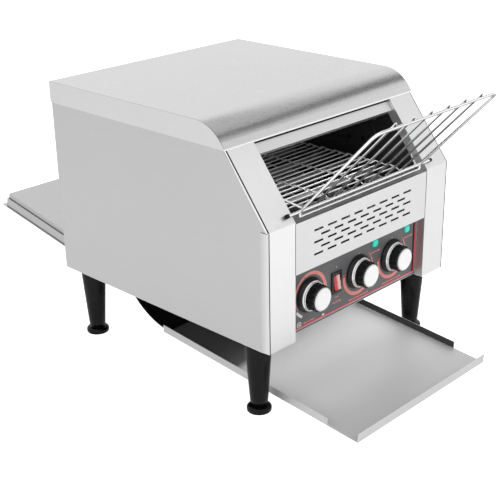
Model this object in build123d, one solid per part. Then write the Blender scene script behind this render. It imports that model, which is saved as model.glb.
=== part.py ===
from build123d import *
import math
import os

# Conveyor toaster, in millimetres.  X runs across the machine, +Y to the back and +Z up.
# While the pieces are made, y = 0 is the front face of the two front columns and z = 0 the
# surface that the feet stand on.  export() then moves everything so that the origin is under
# the middle of the machine's own box.

# ---- casing ----
body_width = 368.0
body_depth = 412.0
body_height = 380.0
body_bottom = 101.0          # lower edge of the side panels
casing_sheet = 1.0
seam = 0.3                   # gap left between two sheets that meet
slope_foot = 262.3           # height where the front starts to lean back
slope_run = 68.2             # how far it has leaned back at the lid
lid_skirt = 30.0
lid_bend = 55.0
lid_proud = 1.3              # the lid stands this far out from the columns
column_face = 46.3
column_return = 14.0
side_strip = 13.0            # bent front strip of each side panel
side_strip_inset = 1.8
flange = 12.0

# ---- front ----
vent_panel_top = 260.0
vent_panel_bottom = 192.0
vent_rows = 5
vent_slots = 8
vent_pitch_x = 26.0
vent_pitch_z = 8.1
vent_slot = (17.0, 2.3)
vent_row_top = 241.8
rear_slot = (96.0, 4.0)
rear_slot_rows = 5
rear_slot_pitch = 14.0
rear_slot_low = 250.0
lintel_height = 15.5
lintel_recess = 5.0
panel_recess = 12.0          # control fascia behind the column faces
fascia_sheet = 0.6
fascia_bottom = 108.0

# ---- controls ----
knob_x = (-95.0, 3.0, 76.0)
knob_names = ("upper_heat_knob", "lower_heat_knob", "speed_knob")
knob_z = 149.8
knob_skirt_radius = 24.0
knob_skirt = 1.8
knob_shoulder_radius = 21.0  # where the skirt ends in a bright ring
knob_shoulder = 4.7
knob_ring = 0.8
knob_grip_radius = 18.0
knob_length = 22.0
knob_cap_radius = 15.0
knob_cap = 1.6
regulator = (42.0, 36.0, 30.0)
knob_flutes = 14
knob_flute_depth = 1.6
knob_sides = 20
round_sides = 26             # sides of the legs and feet
spindle_radius = 3.0
running_gap = 0.05
standoff = 0.5               # air between a turning or tilting piece and the panel
rocker_x = -42.0
rocker_z = 149.0
rocker_size = (12.4, 23.0)
rocker_case = (14.4, 25.6)
rocker_case_depth = 24.0
rocker_bezel = 2.7
rocker_tilt = 11.0
lamp_x = (38.0, 108.8)
lamp_z = 179.5
lamp_size = (11.0, 9.6)
lamp_corner = 2.8
lamp_height = 2.5
lamp_stem = 7.0
lamp_stem_length = 9.0

# ---- belt ----
belt_pitch = 12.0
belt_links_flat = 22         # pitches between the two shafts
sprocket_teeth = 12
belt_wire = 1.9
belt_half = 118.0
belt_joint_inner = 39.0
belt_top = 261.0
belt_front = 42.0            # y of the front shaft
hook_width = 1.8
shaft_square = 10.0
journal_radius = 4.5
journal_sides = 16
journal_shoulder = 3.0       # from the square part of a shaft to the chamber wall
drive_reach = 12.0           # of the drive shaft beyond its bearing, into the gear box
bearing_block = (6.0, 26.0, 34.0)    # thickness, depth and height of a bearing block
sprocket_x = (-78.0, 0.0, 78.0)
sprocket_width = 4.0
hub_radius = 9.0
hub_width = 12.0

# ---- toasting chamber ----
opening_half = (body_width / 2 - side_strip_inset - casing_sheet - seam
                - column_face)   # from the middle to the inner side of a column
wall_setback = 1.1           # of the chamber walls, sideways from the columns' inner side
chamber_half = opening_half + wall_setback
chamber_sheet = 1.2
chamber_headroom = 34.0      # between the chamber walls and the top of the lid
chamber_top = body_height - chamber_headroom
reflector_drop = 4.0         # of the reflector below the top of the walls
reflector_bend = 8.0
reflector_edge = 10.0
heater_radius = 4.5
holder_size = 14.0           # ceramic holders at the heaters' ends
holder_length = 12.0
heater_count = 4
heater_pitch = 50.0
upper_heater_drop = 24.0     # below the top of the chamber walls
upper_heater_z = chamber_top - upper_heater_drop
lower_heater_drop = 23.0     # below the belt's upper run
lower_heater_z = belt_top - lower_heater_drop
shield_z = 198.0
shield_end = 214.0

# ---- legs and feet ----
leg_side_inset = 21.0        # from the side panel to the leg's axis
leg_inset = 38.0             # from the front face, and from the back, to the leg's axis
leg_top_radius = 18.0
leg_foot_radius = 11.8
foot_radius = 16.5
foot_height = 8.0
foot_bevel = 2.5
foot_stem_radius = 5.0
foot_stem = 45.0
stem_sides = 12
foot_travel = 12.0

# ---- trays ----
tray_half = 139.5
tray_front = -107.0
tray_back = 250.0
tray_slope = math.radians(4.9)
tray_sheet = 1.2
tray_floor_gap = 0.5
tray_flange = 10.0
tray_flange_front = -58.0
tray_lip = 12.5
tray_lip_lean = 1.2
chute_bend = 115.0
chute_top = 196.0
shelf_half = 163.3
shelf_reach = 166.0          # how far it stands out behind the body
shelf_rise = math.radians(10.1)
shelf_root_z = 140.6         # top of the shelf at the rear panel
shelf_step = 8.0
shelf_ledge = 2.2            # the lower pan stands out this far from the upper one
shelf_lip = 9.8
shelf_pan_depth = 15.2
shelf_tab = 28.0

# ---- feed rack ----
rack_half = 122.0
rack_length = 163.0
rack_lean = math.radians(46.5)
rack_rod_up = 10.2           # from the foot of the slope, along it, to the cross rod
rack_rod_radius = 2.2
rack_rod_half = 148.0
rack_wire_radius = 1.5
rack_wires = 6
rack_bend = 12.0
rack_pivot_up = 33.5
rack_pivot_depth = 6.9       # behind the face of the columns
rack_cap_radius = 2.8
rack_cap = 5.0

half = body_width / 2
slope = math.atan2(body_height - lid_skirt - slope_foot, slope_run)
up_slope = (math.cos(slope), math.sin(slope))
out_of_slope = (-math.sin(slope), math.cos(slope))
parts = {}


def on_slope(up, out):
    """A (y, z) point of the columns' sloping face: up along it from its foot, and out from it."""
    return (up * up_slope[0] + out * out_of_slope[0],
            slope_foot + up * up_slope[1] + out * out_of_slope[1])


rack_rod = on_slope(rack_rod_up, rack_cap_radius + seam)     # the cross rod rests on the columns
rack_pivot = on_slope(rack_pivot_up, -rack_pivot_depth)


# ---- small helpers ----
def block(x, y, z):
    """A box between two limits along each axis."""
    size = (x[1] - x[0], y[1] - y[0], z[1] - z[0])
    return Pos((x[0] + x[1]) / 2, (y[0] + y[1]) / 2, (z[0] + z[1]) / 2) * Box(*size)


def across(points, x0, x1):
    """A (y, z) outline carried across the machine from x0 to x1."""
    outline = make_face(Polyline(*points, close=True))
    return Pos(x0, 0, 0) * extrude(Plane.YZ * outline, amount=x1 - x0)


def facing(sketch, y0, y1):
    """A sketch seen from the front, (x, z), given a depth from y0 back to y1."""
    return Pos(0, y1, 0) * extrude(Plane.XZ * sketch, amount=y1 - y0)


def rod(start, end, radius):
    """A straight round rod between two points."""
    a, b = Vector(*start), Vector(*end)
    return extrude(Plane(origin=a, z_dir=b - a) * Circle(radius), amount=(b - a).length)


def bent_wire(points, radius, bend=0.0, sides=6):
    """A wire along straight runs, its corners mitred, or turned in two short runs if they have a bend."""
    corners = [Vector(*point) for point in points]
    track = [corners[0]]
    for i in range(1, len(corners) - 1):
        before = (corners[i - 1] - corners[i]).normalized()
        after = (corners[i + 1] - corners[i]).normalized()
        if bend:
            inward = (before + after).normalized()
            half_angle = math.acos(before.dot(inward))
            cut = bend / math.tan(half_angle)
            crest = inward * (bend / math.sin(half_angle) - bend)
            track += [corners[i] + before * cut, corners[i] + crest, corners[i] + after * cut]
        else:
            track.append(corners[i])
    path = Polyline(*track, corners[-1])
    outline = Plane(origin=path @ 0, z_dir=path % 0) * RegularPolygon(radius, sides)
    return sweep(outline, path=path, transition=Transition.RIGHT)


def straight_wire(start, end, radius, sides=6):
    """A straight wire between two points."""
    a, b = Vector(*start), Vector(*end)
    return extrude(Plane(origin=a, z_dir=b - a) * RegularPolygon(radius, sides), amount=(b - a).length)


def tapered(radius, next_radius, z, next_z, sides):
    """An upright many-sided taper between two heights."""
    turn = 2 * math.pi / sides
    low = [(radius * math.cos(i * turn), radius * math.sin(i * turn), z) for i in range(sides)]
    high = [(next_radius * math.cos(i * turn), next_radius * math.sin(i * turn), next_z) for i in range(sides)]
    flats = [[low[i - 1], low[i], high[i], high[i - 1]] for i in range(sides)]
    return Solid(Shell([Face(Wire.make_polygon(corners)) for corners in flats + [low, high]]))


def mirrored(solid):
    """The same piece on the other side of the machine."""
    return mirror(solid, about=Plane.YZ)


def joined(solids):
    """Several solids that keep apart in one node."""
    return Compound([piece for solid in solids for piece in solid.solids()])


# ---- casing ----
def front_line(depth, past_lid=8.0):
    """The front's side view, a given depth behind the column faces, as (y, z) points."""
    bend_drop = depth * math.tan((math.pi / 2 - slope) / 2)
    top_y = slope_run + past_lid * up_slope[0] - depth * out_of_slope[0]
    top_z = body_height - lid_skirt + past_lid * up_slope[1] - depth * out_of_slope[1]
    return [(depth, body_bottom), (depth, slope_foot - bend_drop), (top_y, top_z)]


def front_strip(near, far, x0, x1):
    """A bent strip that follows the front between two depths."""
    return across(front_line(near) + front_line(far)[::-1], x0, x1)


def lid_outline(inset, bottom):
    """The lid's side view, moved inwards by inset, closed at a given height."""
    top = body_height - inset
    radius = lid_bend - inset
    centre_z = body_height - lid_bend
    edge = (slope_run + lid_proud * out_of_slope[0],
            body_height - lid_skirt + lid_proud * out_of_slope[1])
    centre_y = edge[0] + (lid_bend + (centre_z - edge[1]) * out_of_slope[1]) / -out_of_slope[0]
    bend_end = (centre_y + radius * out_of_slope[0], centre_z + radius * out_of_slope[1])
    bend_middle = (math.pi + slope) / 2
    middle = (centre_y + radius * math.cos(bend_middle), centre_z + radius * math.sin(bend_middle))
    foot_y = bend_end[0] - (bend_end[1] - bottom) / math.tan(slope)
    back = body_depth - inset
    edges = [
        Line((back, bottom), (back, top)),
        Line((back, top), (centre_y, top)),
        ThreePointArc((centre_y, top), middle, bend_end),
        Line(bend_end, (foot_y, bottom)),
        Line((foot_y, bottom), (back, bottom)),
    ]
    return Plane.YZ * make_face(edges)


def make_lid():
    outer_half = half + seam + casing_sheet
    bottom = body_height - lid_skirt
    shell = Pos(-outer_half, 0, 0) * extrude(lid_outline(0, bottom), amount=2 * outer_half)
    inner_half = outer_half - casing_sheet
    inside = lid_outline(casing_sheet, bottom - casing_sheet)
    return shell - Pos(-inner_half, 0, 0) * extrude(inside, amount=2 * inner_half)


def make_side_panel():
    """The right side panel: a flat sheet with a bent front strip and turned-in flanges."""
    inner = half - casing_sheet
    back = body_depth - casing_sheet - seam
    under_lid = body_height - lid_skirt / 2
    lean = (under_lid - slope_foot) / math.tan(slope) + 3
    sheet = across([(side_strip, body_bottom), (side_strip, slope_foot), (0.5, slope_foot),
                    (lean, under_lid), (back, under_lid), (back, body_bottom)], inner, half)
    strip = Pos(0, 0, body_bottom) * extrude(make_face(Polyline(
        (half, side_strip), (half - side_strip_inset, 0),
        (inner - side_strip_inset, 0), (inner, side_strip), close=True)),
        amount=slope_foot - body_bottom)
    foot = block((half - flange, half), (side_strip, back), (body_bottom, body_bottom + casing_sheet))
    rear = block((half - flange, half), (back - casing_sheet, back), (body_bottom, under_lid))
    return sheet + strip + foot + rear


def make_column():
    """The right front column: a bent face with a return that lines the opening."""
    outer = half - side_strip_inset - casing_sheet - seam
    inner = outer - column_face
    face = front_strip(0, casing_sheet, inner, outer)
    lining = front_strip(0, column_return, inner, inner + casing_sheet)
    pivot_hole = rod((inner - 1, *rack_pivot), (inner + 3, *rack_pivot), rack_wire_radius + running_gap)
    return face + lining - pivot_hole


def make_lintel():
    """The strip under the lid's front edge, with a return behind its lower edge."""
    width = opening_half - seam

    def at(along, depth):
        return (slope_run + along * up_slope[0] - depth * out_of_slope[0],
                body_height - lid_skirt + along * up_slope[1] - depth * out_of_slope[1])

    low, high, inside = -lintel_height, 6.0, lintel_recess + casing_sheet
    return across([at(high, lintel_recess), at(low, lintel_recess), at(low, lintel_recess + flange),
                   at(low + casing_sheet, lintel_recess + flange), at(low + casing_sheet, inside),
                   at(high, inside)], -width, width)


def make_vent_panel():
    """The slotted panel over the controls, folded back along its top and bottom."""
    width = opening_half - seam
    depth = column_return + 8
    panel = across([(0, vent_panel_bottom), (0, vent_panel_top), (depth, vent_panel_top),
                    (depth, vent_panel_top - casing_sheet), (casing_sheet, vent_panel_top - casing_sheet),
                    (casing_sheet, vent_panel_bottom + casing_sheet),
                    (panel_recess, vent_panel_bottom + casing_sheet),
                    (panel_recess, vent_panel_bottom)], -width, width)
    slots = Sketch()
    for row in range(vent_rows):
        count = vent_slots - row % 2
        z = vent_row_top - row * vent_pitch_z
        for column in range(count):
            slots += Pos((column - (count - 1) / 2) * vent_pitch_x, z) * Rectangle(*vent_slot)
    return panel - facing(slots, -1, 3)


def control_holes():
    """The openings for the knob spindles, the rocker switch and the lamps."""
    holes = Sketch()
    for x in knob_x:
        holes += Pos(x, knob_z) * Rectangle(2 * spindle_radius + 3, 2 * spindle_radius + 3)
    holes += Pos(rocker_x, rocker_z) * Rectangle(rocker_case[0] + 2 * seam, rocker_case[1] + 2 * seam)
    for x in lamp_x:
        holes += Pos(x, lamp_z) * Rectangle(lamp_stem + 2 * seam, lamp_stem + 2 * seam)
    return holes


def make_control_panel():
    """The sheet that carries the controls, with a flange back along its lower edge."""
    width = opening_half - seam
    front = panel_recess + fascia_sheet
    low = fascia_bottom - 2
    top = vent_panel_bottom - seam
    sheet = block((-width, width), (front, front + casing_sheet), (low, top))
    foot = block((-width, width), (front, front + flange), (low, low + casing_sheet))
    return sheet + foot - facing(control_holes(), front - 1, front + casing_sheet + 1)


def make_fascia():
    """The printed plate on the control panel."""
    width = opening_half - 2
    top = vent_panel_bottom - 2
    sheet = block((-width, width), (panel_recess, panel_recess + fascia_sheet), (fascia_bottom, top))
    return sheet - facing(control_holes(), panel_recess - 1, panel_recess + fascia_sheet + 1)


def make_base_plate():
    """The floor of the casing: slots under the fan, and open where toast comes down the chute."""
    lift = body_bottom + casing_sheet
    width = half - casing_sheet - seam
    back = body_depth - 2 * casing_sheet - 2 * seam
    outline = Pos(0, (column_return + seam + back) / 2) * Rectangle(2 * width, back - column_return - seam)
    exit_front, exit_back = shield_end + 16, chute_back + 6
    outline -= Pos(0, (exit_front + exit_back) / 2) * Rectangle(2 * chamber_half, exit_back - exit_front)
    for i in range(-3, 4):
        offset = i * fan_slot_pitch
        reach = math.sqrt((fan_radius - 3) ** 2 - offset ** 2)
        outline -= Pos(fan_centre[0], fan_centre[1] + offset) * Rectangle(2 * reach, fan_slot_pitch / 2)
    return Pos(0, 0, lift) * extrude(outline, amount=chamber_sheet)


def make_rear_panel():
    """The back of the casing, with louvre slots above and a gland hole below the shelf."""
    width = half - casing_sheet - seam
    front, back = body_depth - casing_sheet, body_depth
    low = body_bottom + casing_sheet
    panel = block((-width, width), (front, back), (low, body_height - lid_skirt - seam))
    slots = Sketch()
    for row in range(rear_slot_rows):
        for side in (-1, 1):
            place = (side * (rear_slot[0] / 2 + 8), rear_slot_low + row * rear_slot_pitch)
            slots += Pos(*place) * Rectangle(*rear_slot)
    return panel - facing(slots, front - 1, back + 1) - facing(
        Pos(*gland_place) * RegularPolygon(gland_radius + seam, 16), front - 1, back + 1)


# ---- legs and feet ----
leg_foot_z = foot_height + 4.0


def leg_places():
    side_x, back_y = half - leg_side_inset, body_depth - leg_inset
    return [(side * side_x, y) for y in (leg_inset, back_y) for side in (-1, 1)]


def make_leg():
    """A tapered leg, bored for the stem of its foot."""
    bore = RegularPolygon(foot_stem_radius + running_gap, stem_sides)
    leg = tapered(leg_foot_radius, leg_top_radius, leg_foot_z, body_bottom, round_sides)
    return leg - Pos(0, 0, leg_foot_z) * extrude(bore, amount=foot_stem)


def make_foot():
    """The flat foot on its stem, screwed fully into the leg."""
    disc = extrude(RegularPolygon(foot_radius, round_sides), amount=foot_height)
    disc = chamfer(disc.faces().sort_by(Axis.Z)[-1].edges(), foot_bevel)
    stem = extrude(RegularPolygon(foot_stem_radius, stem_sides), amount=leg_foot_z + foot_stem - 2)
    return disc + stem


# ---- belt and shafts ----
pitch_radius = belt_pitch / 2 / math.sin(math.pi / sprocket_teeth)
shaft_z = belt_top - pitch_radius
belt_back = belt_front + belt_links_flat * belt_pitch
crest_radius = pitch_radius - belt_wire / 2 - 0.2
bearing_end = chamber_half + chamber_sheet + bearing_block[0]


def belt_stations():
    """The (y, z) places of the belt's cross wires, in order of travel."""
    turn = 2 * math.pi / sprocket_teeth
    around = sprocket_teeth // 2
    top = [(belt_front + i * belt_pitch, belt_top) for i in range(belt_links_flat)]
    rear = [(belt_back + pitch_radius * math.sin(i * turn), shaft_z + pitch_radius * math.cos(i * turn))
            for i in range(around)]
    bottom = [(belt_back - i * belt_pitch, shaft_z - pitch_radius) for i in range(belt_links_flat)]
    front = [(belt_front - pitch_radius * math.sin(i * turn), shaft_z - pitch_radius * math.cos(i * turn))
             for i in range(around)]
    return {"belt_top_run": top, "belt_rear_turn": rear, "belt_bottom_run": bottom,
            "belt_front_turn": front}


def belt_link(inset):
    """One cross wire with four hooks that catch the next wire, lying along +Y from the origin."""
    near = belt_wire / 2
    clear = belt_wire / math.sqrt(2) + 0.15
    reach = belt_pitch + clear
    link = Box(2 * belt_half, belt_wire, belt_wire)
    hook = [(near, near - 0.2), (reach + 1.1, clear + 1.4), (reach + 0.5, -clear), (reach, clear + 0.4),
            (near, 0.2 - near)]
    for x in (belt_half - hook_width - inset, belt_joint_inner - inset):
        strap = across(hook, x, x + hook_width)
        link += strap
        link += mirrored(strap)
    return link


def make_belt():
    """The whole belt, as four nodes of separate links."""
    runs = belt_stations()
    stations = [place for run in runs.values() for place in run]
    links = [belt_link(0), belt_link(hook_width + 0.5)]
    index = 0
    for name, places in runs.items():
        pieces = []
        for y, z in places:
            next_y, next_z = stations[(index + 1) % len(stations)]
            heading = math.degrees(math.atan2(next_z - z, next_y - y))
            pieces.append(Pos(0, y, z) * Rot(X=heading) * links[index % 2])
            index += 1
        parts[name] = joined(pieces)


def make_sprockets(y):
    """Three sprockets on one square shaft, with a shallow notch under each belt wire."""
    turn = 2 * math.pi / sprocket_teeth
    root_radius = crest_radius - 2.0
    outline = []
    for i in range(sprocket_teeth):
        for share, radius in ((-0.1, crest_radius), (0, root_radius), (0.1, crest_radius)):
            angle = (i + share) * turn
            outline.append((radius * math.cos(angle), radius * math.sin(angle)))
    bore = shaft_square + 2 * running_gap
    wheel = across(outline, -sprocket_width / 2, sprocket_width / 2)
    wheel += Pos(-hub_width / 2, 0, 0) * extrude(Plane.YZ * RegularPolygon(hub_radius, 8), amount=hub_width)
    wheel -= Box(2 * hub_width, bore, bore)
    return joined([Pos(x, y, shaft_z) * wheel for x in sprocket_x])


def make_shaft(y, right_end):
    """A square shaft with round journals, in its place across the machine."""
    square = chamber_half - journal_shoulder
    left_end = -(chamber_half + chamber_sheet + bearing_block[0])
    bar = Pos(0, y, shaft_z) * Box(2 * square, shaft_square, shaft_square)
    return (bar + straight_wire((left_end, y, shaft_z), (-square, y, shaft_z), journal_radius, journal_sides)
            + straight_wire((square, y, shaft_z), (right_end, y, shaft_z), journal_radius, journal_sides))


def make_bearings():
    """The four bearing blocks outside the chamber walls that carry both shafts."""
    thick, depth, height = bearing_block
    near = chamber_half + chamber_sheet
    blocks = []
    for y in (belt_front, belt_back):
        piece = block((near, near + thick), (y - depth / 2, y + depth / 2),
                      (shaft_z - height / 2, shaft_z + height / 2))
        bore = RegularPolygon(journal_radius + running_gap, journal_sides, major_radius=False)
        piece -= Pos(near - 1, y, shaft_z) * extrude(Plane.YZ * bore, amount=thick + 2)
        blocks += [piece, mirrored(piece)]
    return joined(blocks)


# ---- chamber ----
def heater_rows():
    middle = (belt_front + belt_back) / 2
    first = middle - heater_pitch * (heater_count - 1) / 2
    return [first + i * heater_pitch for i in range(heater_count)]


def make_chamber_wall():
    """The right wall between the toasting chamber and the side compartment."""
    depth = column_return + seam
    low = body_bottom + casing_sheet + chamber_sheet
    front_bend = front_line(depth)[1]
    top_y = front_bend[0] + (chamber_top - front_bend[1]) / math.tan(slope)
    back = body_depth - casing_sheet - seam
    outline = make_face(Polyline((depth, low), front_bend, (top_y, chamber_top), (back, chamber_top),
                                 (back, low), close=True))
    for y in (belt_front, belt_back):
        outline -= Pos(y, shaft_z) * RegularPolygon(journal_radius + 1.5, 8)
    for y in heater_rows():
        for z in (upper_heater_z, lower_heater_z):
            outline -= Pos(y, z) * Rectangle(holder_size + 2 * running_gap, holder_size + 2 * running_gap)
    wall = Pos(chamber_half, 0, 0) * extrude(Plane.YZ * outline, amount=chamber_sheet)
    foot = block((chamber_half, chamber_half + flange), (depth, back), (low, low + chamber_sheet))
    return wall + foot


def make_heaters(z):
    """A row of tube heaters between their holders."""
    reach = chamber_half - 1
    tube = Pos(-reach, 0, 0) * extrude(Plane.YZ * RegularPolygon(heater_radius, 14), amount=2 * reach)
    return joined([Pos(0, y, z) * tube for y in heater_rows()])


def make_holders():
    """The ceramic holders that sit in the chamber walls and carry the heaters' ends."""
    near = chamber_half - 1
    side = holder_size / 2
    holders = []
    for z in (upper_heater_z, lower_heater_z):
        for y in heater_rows():
            holder = block((near, near + holder_length), (y - side, y + side), (z - side, z + side))
            holders += [holder, mirrored(holder)]
    return joined(holders)


def make_reflector():
    """The bright sheet over the upper heaters, bent down along its front and back."""
    width = chamber_half - seam
    rows = heater_rows()
    front, back = rows[0] - heater_pitch * 0.3, rows[-1] + heater_pitch * 0.7
    top = chamber_top - reflector_drop
    low, under = top - reflector_edge, top - casing_sheet
    bend, inner_bend = reflector_bend, reflector_bend + casing_sheet / 2
    return across([(front, low), (front + bend, top), (back - bend, top), (back, low),
                   (back - casing_sheet, low), (back - inner_bend, under), (front + inner_bend, under),
                   (front + casing_sheet, low)], -width, width)


def make_heat_shield():
    """The sheet between the belt and the electrics, turned down at its back edge."""
    width = chamber_half - seam
    front = column_return + seam
    thick = casing_sheet
    return across([(front, shield_z), (front, shield_z + thick), (shield_end, shield_z + thick),
                   (shield_end, body_bottom + 3), (shield_end - thick, body_bottom + 3),
                   (shield_end - thick, shield_z)], -width, width)


# ---- trays, chute and rear shelf ----
def tray_top(y):
    """Height of the bread tray's upper surface at a given y."""
    return tray_floor_gap + tray_sheet + (y - tray_front) * math.tan(tray_slope)


chute_end_y = tray_back - 6
chute_end_z = tray_top(chute_end_y) + 2.0
chute_centre = (chute_end_y - chute_bend * math.sin(tray_slope),
                chute_end_z + chute_bend * math.cos(tray_slope))
chute_back = chute_centre[0] + chute_bend + chamber_sheet


def make_chute():
    """The curved guide behind the belt, with a ledge under it that holds the tray's back edge."""
    inner, outer = chute_bend, chute_bend + chamber_sheet
    start = -math.pi / 2 + tray_slope
    middle = start / 2

    def on(radius, angle):
        return (chute_centre[0] + radius * math.cos(angle), chute_centre[1] + radius * math.sin(angle))

    edges = [
        ThreePointArc(on(inner, start), on(inner, middle), on(inner, 0)),
        Line(on(inner, 0), (chute_centre[0] + inner, chute_top)),
        Line((chute_centre[0] + inner, chute_top), (chute_centre[0] + outer, chute_top)),
        Line((chute_centre[0] + outer, chute_top), on(outer, 0)),
        ThreePointArc(on(outer, 0), on(outer, middle), on(outer, start)),
        Line(on(outer, start), on(inner, start)),
    ]
    width = chamber_half - seam
    curve = Pos(-width, 0, 0) * extrude(Plane.YZ * make_face(edges), amount=2 * width)
    under = tray_top(tray_back) - tray_sheet - seam
    ledge_y = tray_back + 4
    ledge = across([(tray_back - 12, under - chamber_sheet - 1), (tray_back - 12, under - 1.2),
                    (ledge_y, under), (ledge_y, tray_top(ledge_y) + 3.6),
                    (ledge_y + chamber_sheet, tray_top(ledge_y) + 3.6),
                    (ledge_y + chamber_sheet, under - chamber_sheet)], -width + 20, width - 20)
    return curve + ledge


def make_bread_tray():
    """The sloping tray under the body, with side flanges and a lip along its front."""
    def at(y, rise):
        return (y, tray_top(y) + rise)

    plate = across([at(tray_front, -tray_sheet), at(tray_front, 0), at(tray_back, 0),
                    at(tray_back, -tray_sheet)], -tray_half, tray_half)
    side = [at(tray_flange_front, -tray_sheet), at(tray_flange_front, tray_flange),
            at(tray_back, tray_flange), at(tray_back, -tray_sheet)]
    flange_piece = across(side, tray_half - tray_sheet, tray_half)
    lip_front, lip_top = tray_front - tray_lip_lean, tray_top(tray_front) + tray_lip
    lip = across([at(tray_front, -tray_sheet), (lip_front, lip_top), (lip_front + tray_sheet, lip_top),
                  at(tray_front + tray_sheet, 0), at(tray_front + tray_sheet, -tray_sheet)],
                 -tray_half, tray_half)
    return plate + flange_piece + mirrored(flange_piece) + lip


shelf_back_panel = body_depth + seam


def shelf_at(along, drop):
    """A (y, z) point of the rear shelf: along it from the rear panel, and down from its top."""
    return (shelf_back_panel + along * math.cos(shelf_rise) + drop * math.sin(shelf_rise),
            shelf_root_z + along * math.sin(shelf_rise) - drop * math.cos(shelf_rise))


shelf_length = shelf_reach / math.cos(shelf_rise)


def pan(start, end, top, depth, width, sheet):
    """A shallow pan open below, its top at a given drop, tilted like the shelf."""
    outer = across([shelf_at(start, top), shelf_at(end, top), shelf_at(end, top + depth),
                    shelf_at(start, top + depth)], -width, width)
    inner = across([shelf_at(start - 5, top + sheet), shelf_at(end - sheet, top + sheet),
                    shelf_at(end - sheet, top + depth + 5), shelf_at(start - 5, top + depth + 5)],
                   -width + sheet, width - sheet)
    return outer - inner


def make_shelf_top():
    """The rear shelf's upper pan, with a narrow step all round."""
    return pan(3, shelf_length, 0, shelf_step, shelf_half, chamber_sheet)


def make_shelf_tray():
    """The lower, wider pan that carries the shelf, with a lip that stands out all round."""
    sheet = chamber_sheet
    start = 3
    top = shelf_step + seam
    end, width = shelf_length + shelf_ledge, shelf_half + shelf_ledge
    body = pan(start, end, top, shelf_pan_depth, width, sheet)
    lip_top = top + shelf_pan_depth
    lip = across([shelf_at(start, lip_top - sheet), shelf_at(end + shelf_lip, lip_top - sheet),
                  shelf_at(end + shelf_lip, lip_top), shelf_at(start, lip_top)],
                 -width - shelf_ledge, width + shelf_ledge)
    opening = across([shelf_at(start - 5, top + sheet), shelf_at(end - sheet, top + sheet),
                      shelf_at(end - sheet, lip_top + 5), shelf_at(start - 5, lip_top + 5)],
                     -width + sheet, width - sheet)
    tabs = across([shelf_at(-2, lip_top - 10), shelf_at(start + 1, lip_top - 10),
                   shelf_at(start + 1, lip_top - sheet), shelf_at(0, lip_top - sheet)],
                  width - shelf_tab, width)
    tabs -= block((0, body_width), (0, shelf_back_panel), (0, body_height))
    return body + (lip - opening) + tabs + mirrored(tabs)


# ---- feed rack ----
def rack_at(along, lift=0.0):
    """A (y, z) point of the rack: up along it from the cross rod, and out of its plane."""
    return (rack_rod[0] - along * math.cos(rack_lean) - lift * math.sin(rack_lean),
            rack_rod[1] + along * math.sin(rack_lean) - lift * math.cos(rack_lean))


def make_rack():
    """The welded wire rack that bread slides down: frame, rods, long wires and pivot arms."""
    weld = 0.4
    frame_radius = rack_wire_radius + 0.5
    lift = rack_rod_radius + rack_wire_radius - weld
    wire_foot = rack_rod[0] + lift
    lower_rail = (wire_foot - 2 * rack_wire_radius + weld, rack_rod[1] - 7.0)
    rack = bent_wire([(-rack_half, *rack_rod), (-rack_half, *rack_at(rack_length)),
                      (rack_half, *rack_at(rack_length)), (rack_half, *rack_rod)],
                     frame_radius, rack_bend, 8)
    for x in (-rack_half, rack_half):
        rack += straight_wire((x, rack_rod[0], rack_rod[1] + 1), (x, *lower_rail), frame_radius, 8)
    rod_end = rack_rod_half - rack_cap
    rack += straight_wire((-rod_end, *rack_rod), (rod_end, *rack_rod), rack_rod_radius, 8)
    rack += straight_wire((-rack_half, *lower_rail), (rack_half, *lower_rail), rack_wire_radius)
    spacing = 2 * rack_half / (rack_wires + 1)
    bend_z = rack_rod[1] + lift * (1 - math.sin(rack_lean)) / math.cos(rack_lean)
    for i in range(1, rack_wires + 1):
        x = -rack_half + i * spacing
        rack += bent_wire([(x, *rack_at(rack_length + 4, -lift)), (x, wire_foot, bend_z),
                           (x, wire_foot, lower_rail[1] - 3)], rack_wire_radius)
    for side in (-1, 1):
        inner = side * (opening_half - 6)
        rack += bent_wire([(inner - side * 16, *rack_rod), (inner, *rack_pivot),
                           (side * (opening_half + 4), *rack_pivot)], rack_wire_radius)
    return rack


def make_rack_caps():
    """The rubber caps on the cross rod's ends, which rest on the columns."""
    cap = straight_wire((rack_rod_half - rack_cap, *rack_rod), (rack_rod_half, *rack_rod), rack_cap_radius, 12)
    return joined([cap, mirrored(cap)])


# ---- controls ----
knob_back = panel_recess - standoff
knob_front = knob_back - knob_length


def fluted(radius, depth, count):
    """A round outline with shallow hollows all round."""
    turn = 2 * math.pi / count
    points = []
    for i in range(count):
        for share, inset in ((-0.32, 0), (-0.16, depth), (0.16, depth), (0.32, 0)):
            angle = (i + share) * turn
            points.append(((radius - inset) * math.cos(angle), (radius - inset) * math.sin(angle)))
    return make_face(Polyline(*points, close=True))


def make_knob(x):
    """A fluted knob on a round skirt that narrows to a shoulder."""
    shoulder_back = knob_back - knob_skirt
    ring_back = shoulder_back - knob_shoulder
    skirt = facing(Pos(x, knob_z) * RegularPolygon(knob_skirt_radius, knob_sides), shoulder_back, knob_back)
    taper = tapered(knob_skirt_radius, knob_shoulder_radius, 0, knob_shoulder, knob_sides)
    shoulder = Pos(x, shoulder_back, knob_z) * Rot(X=90) * taper
    grip = facing(Pos(x, knob_z) * fluted(knob_grip_radius, knob_flute_depth, knob_flutes), knob_front, ring_back)
    return skirt + shoulder + grip


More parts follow.
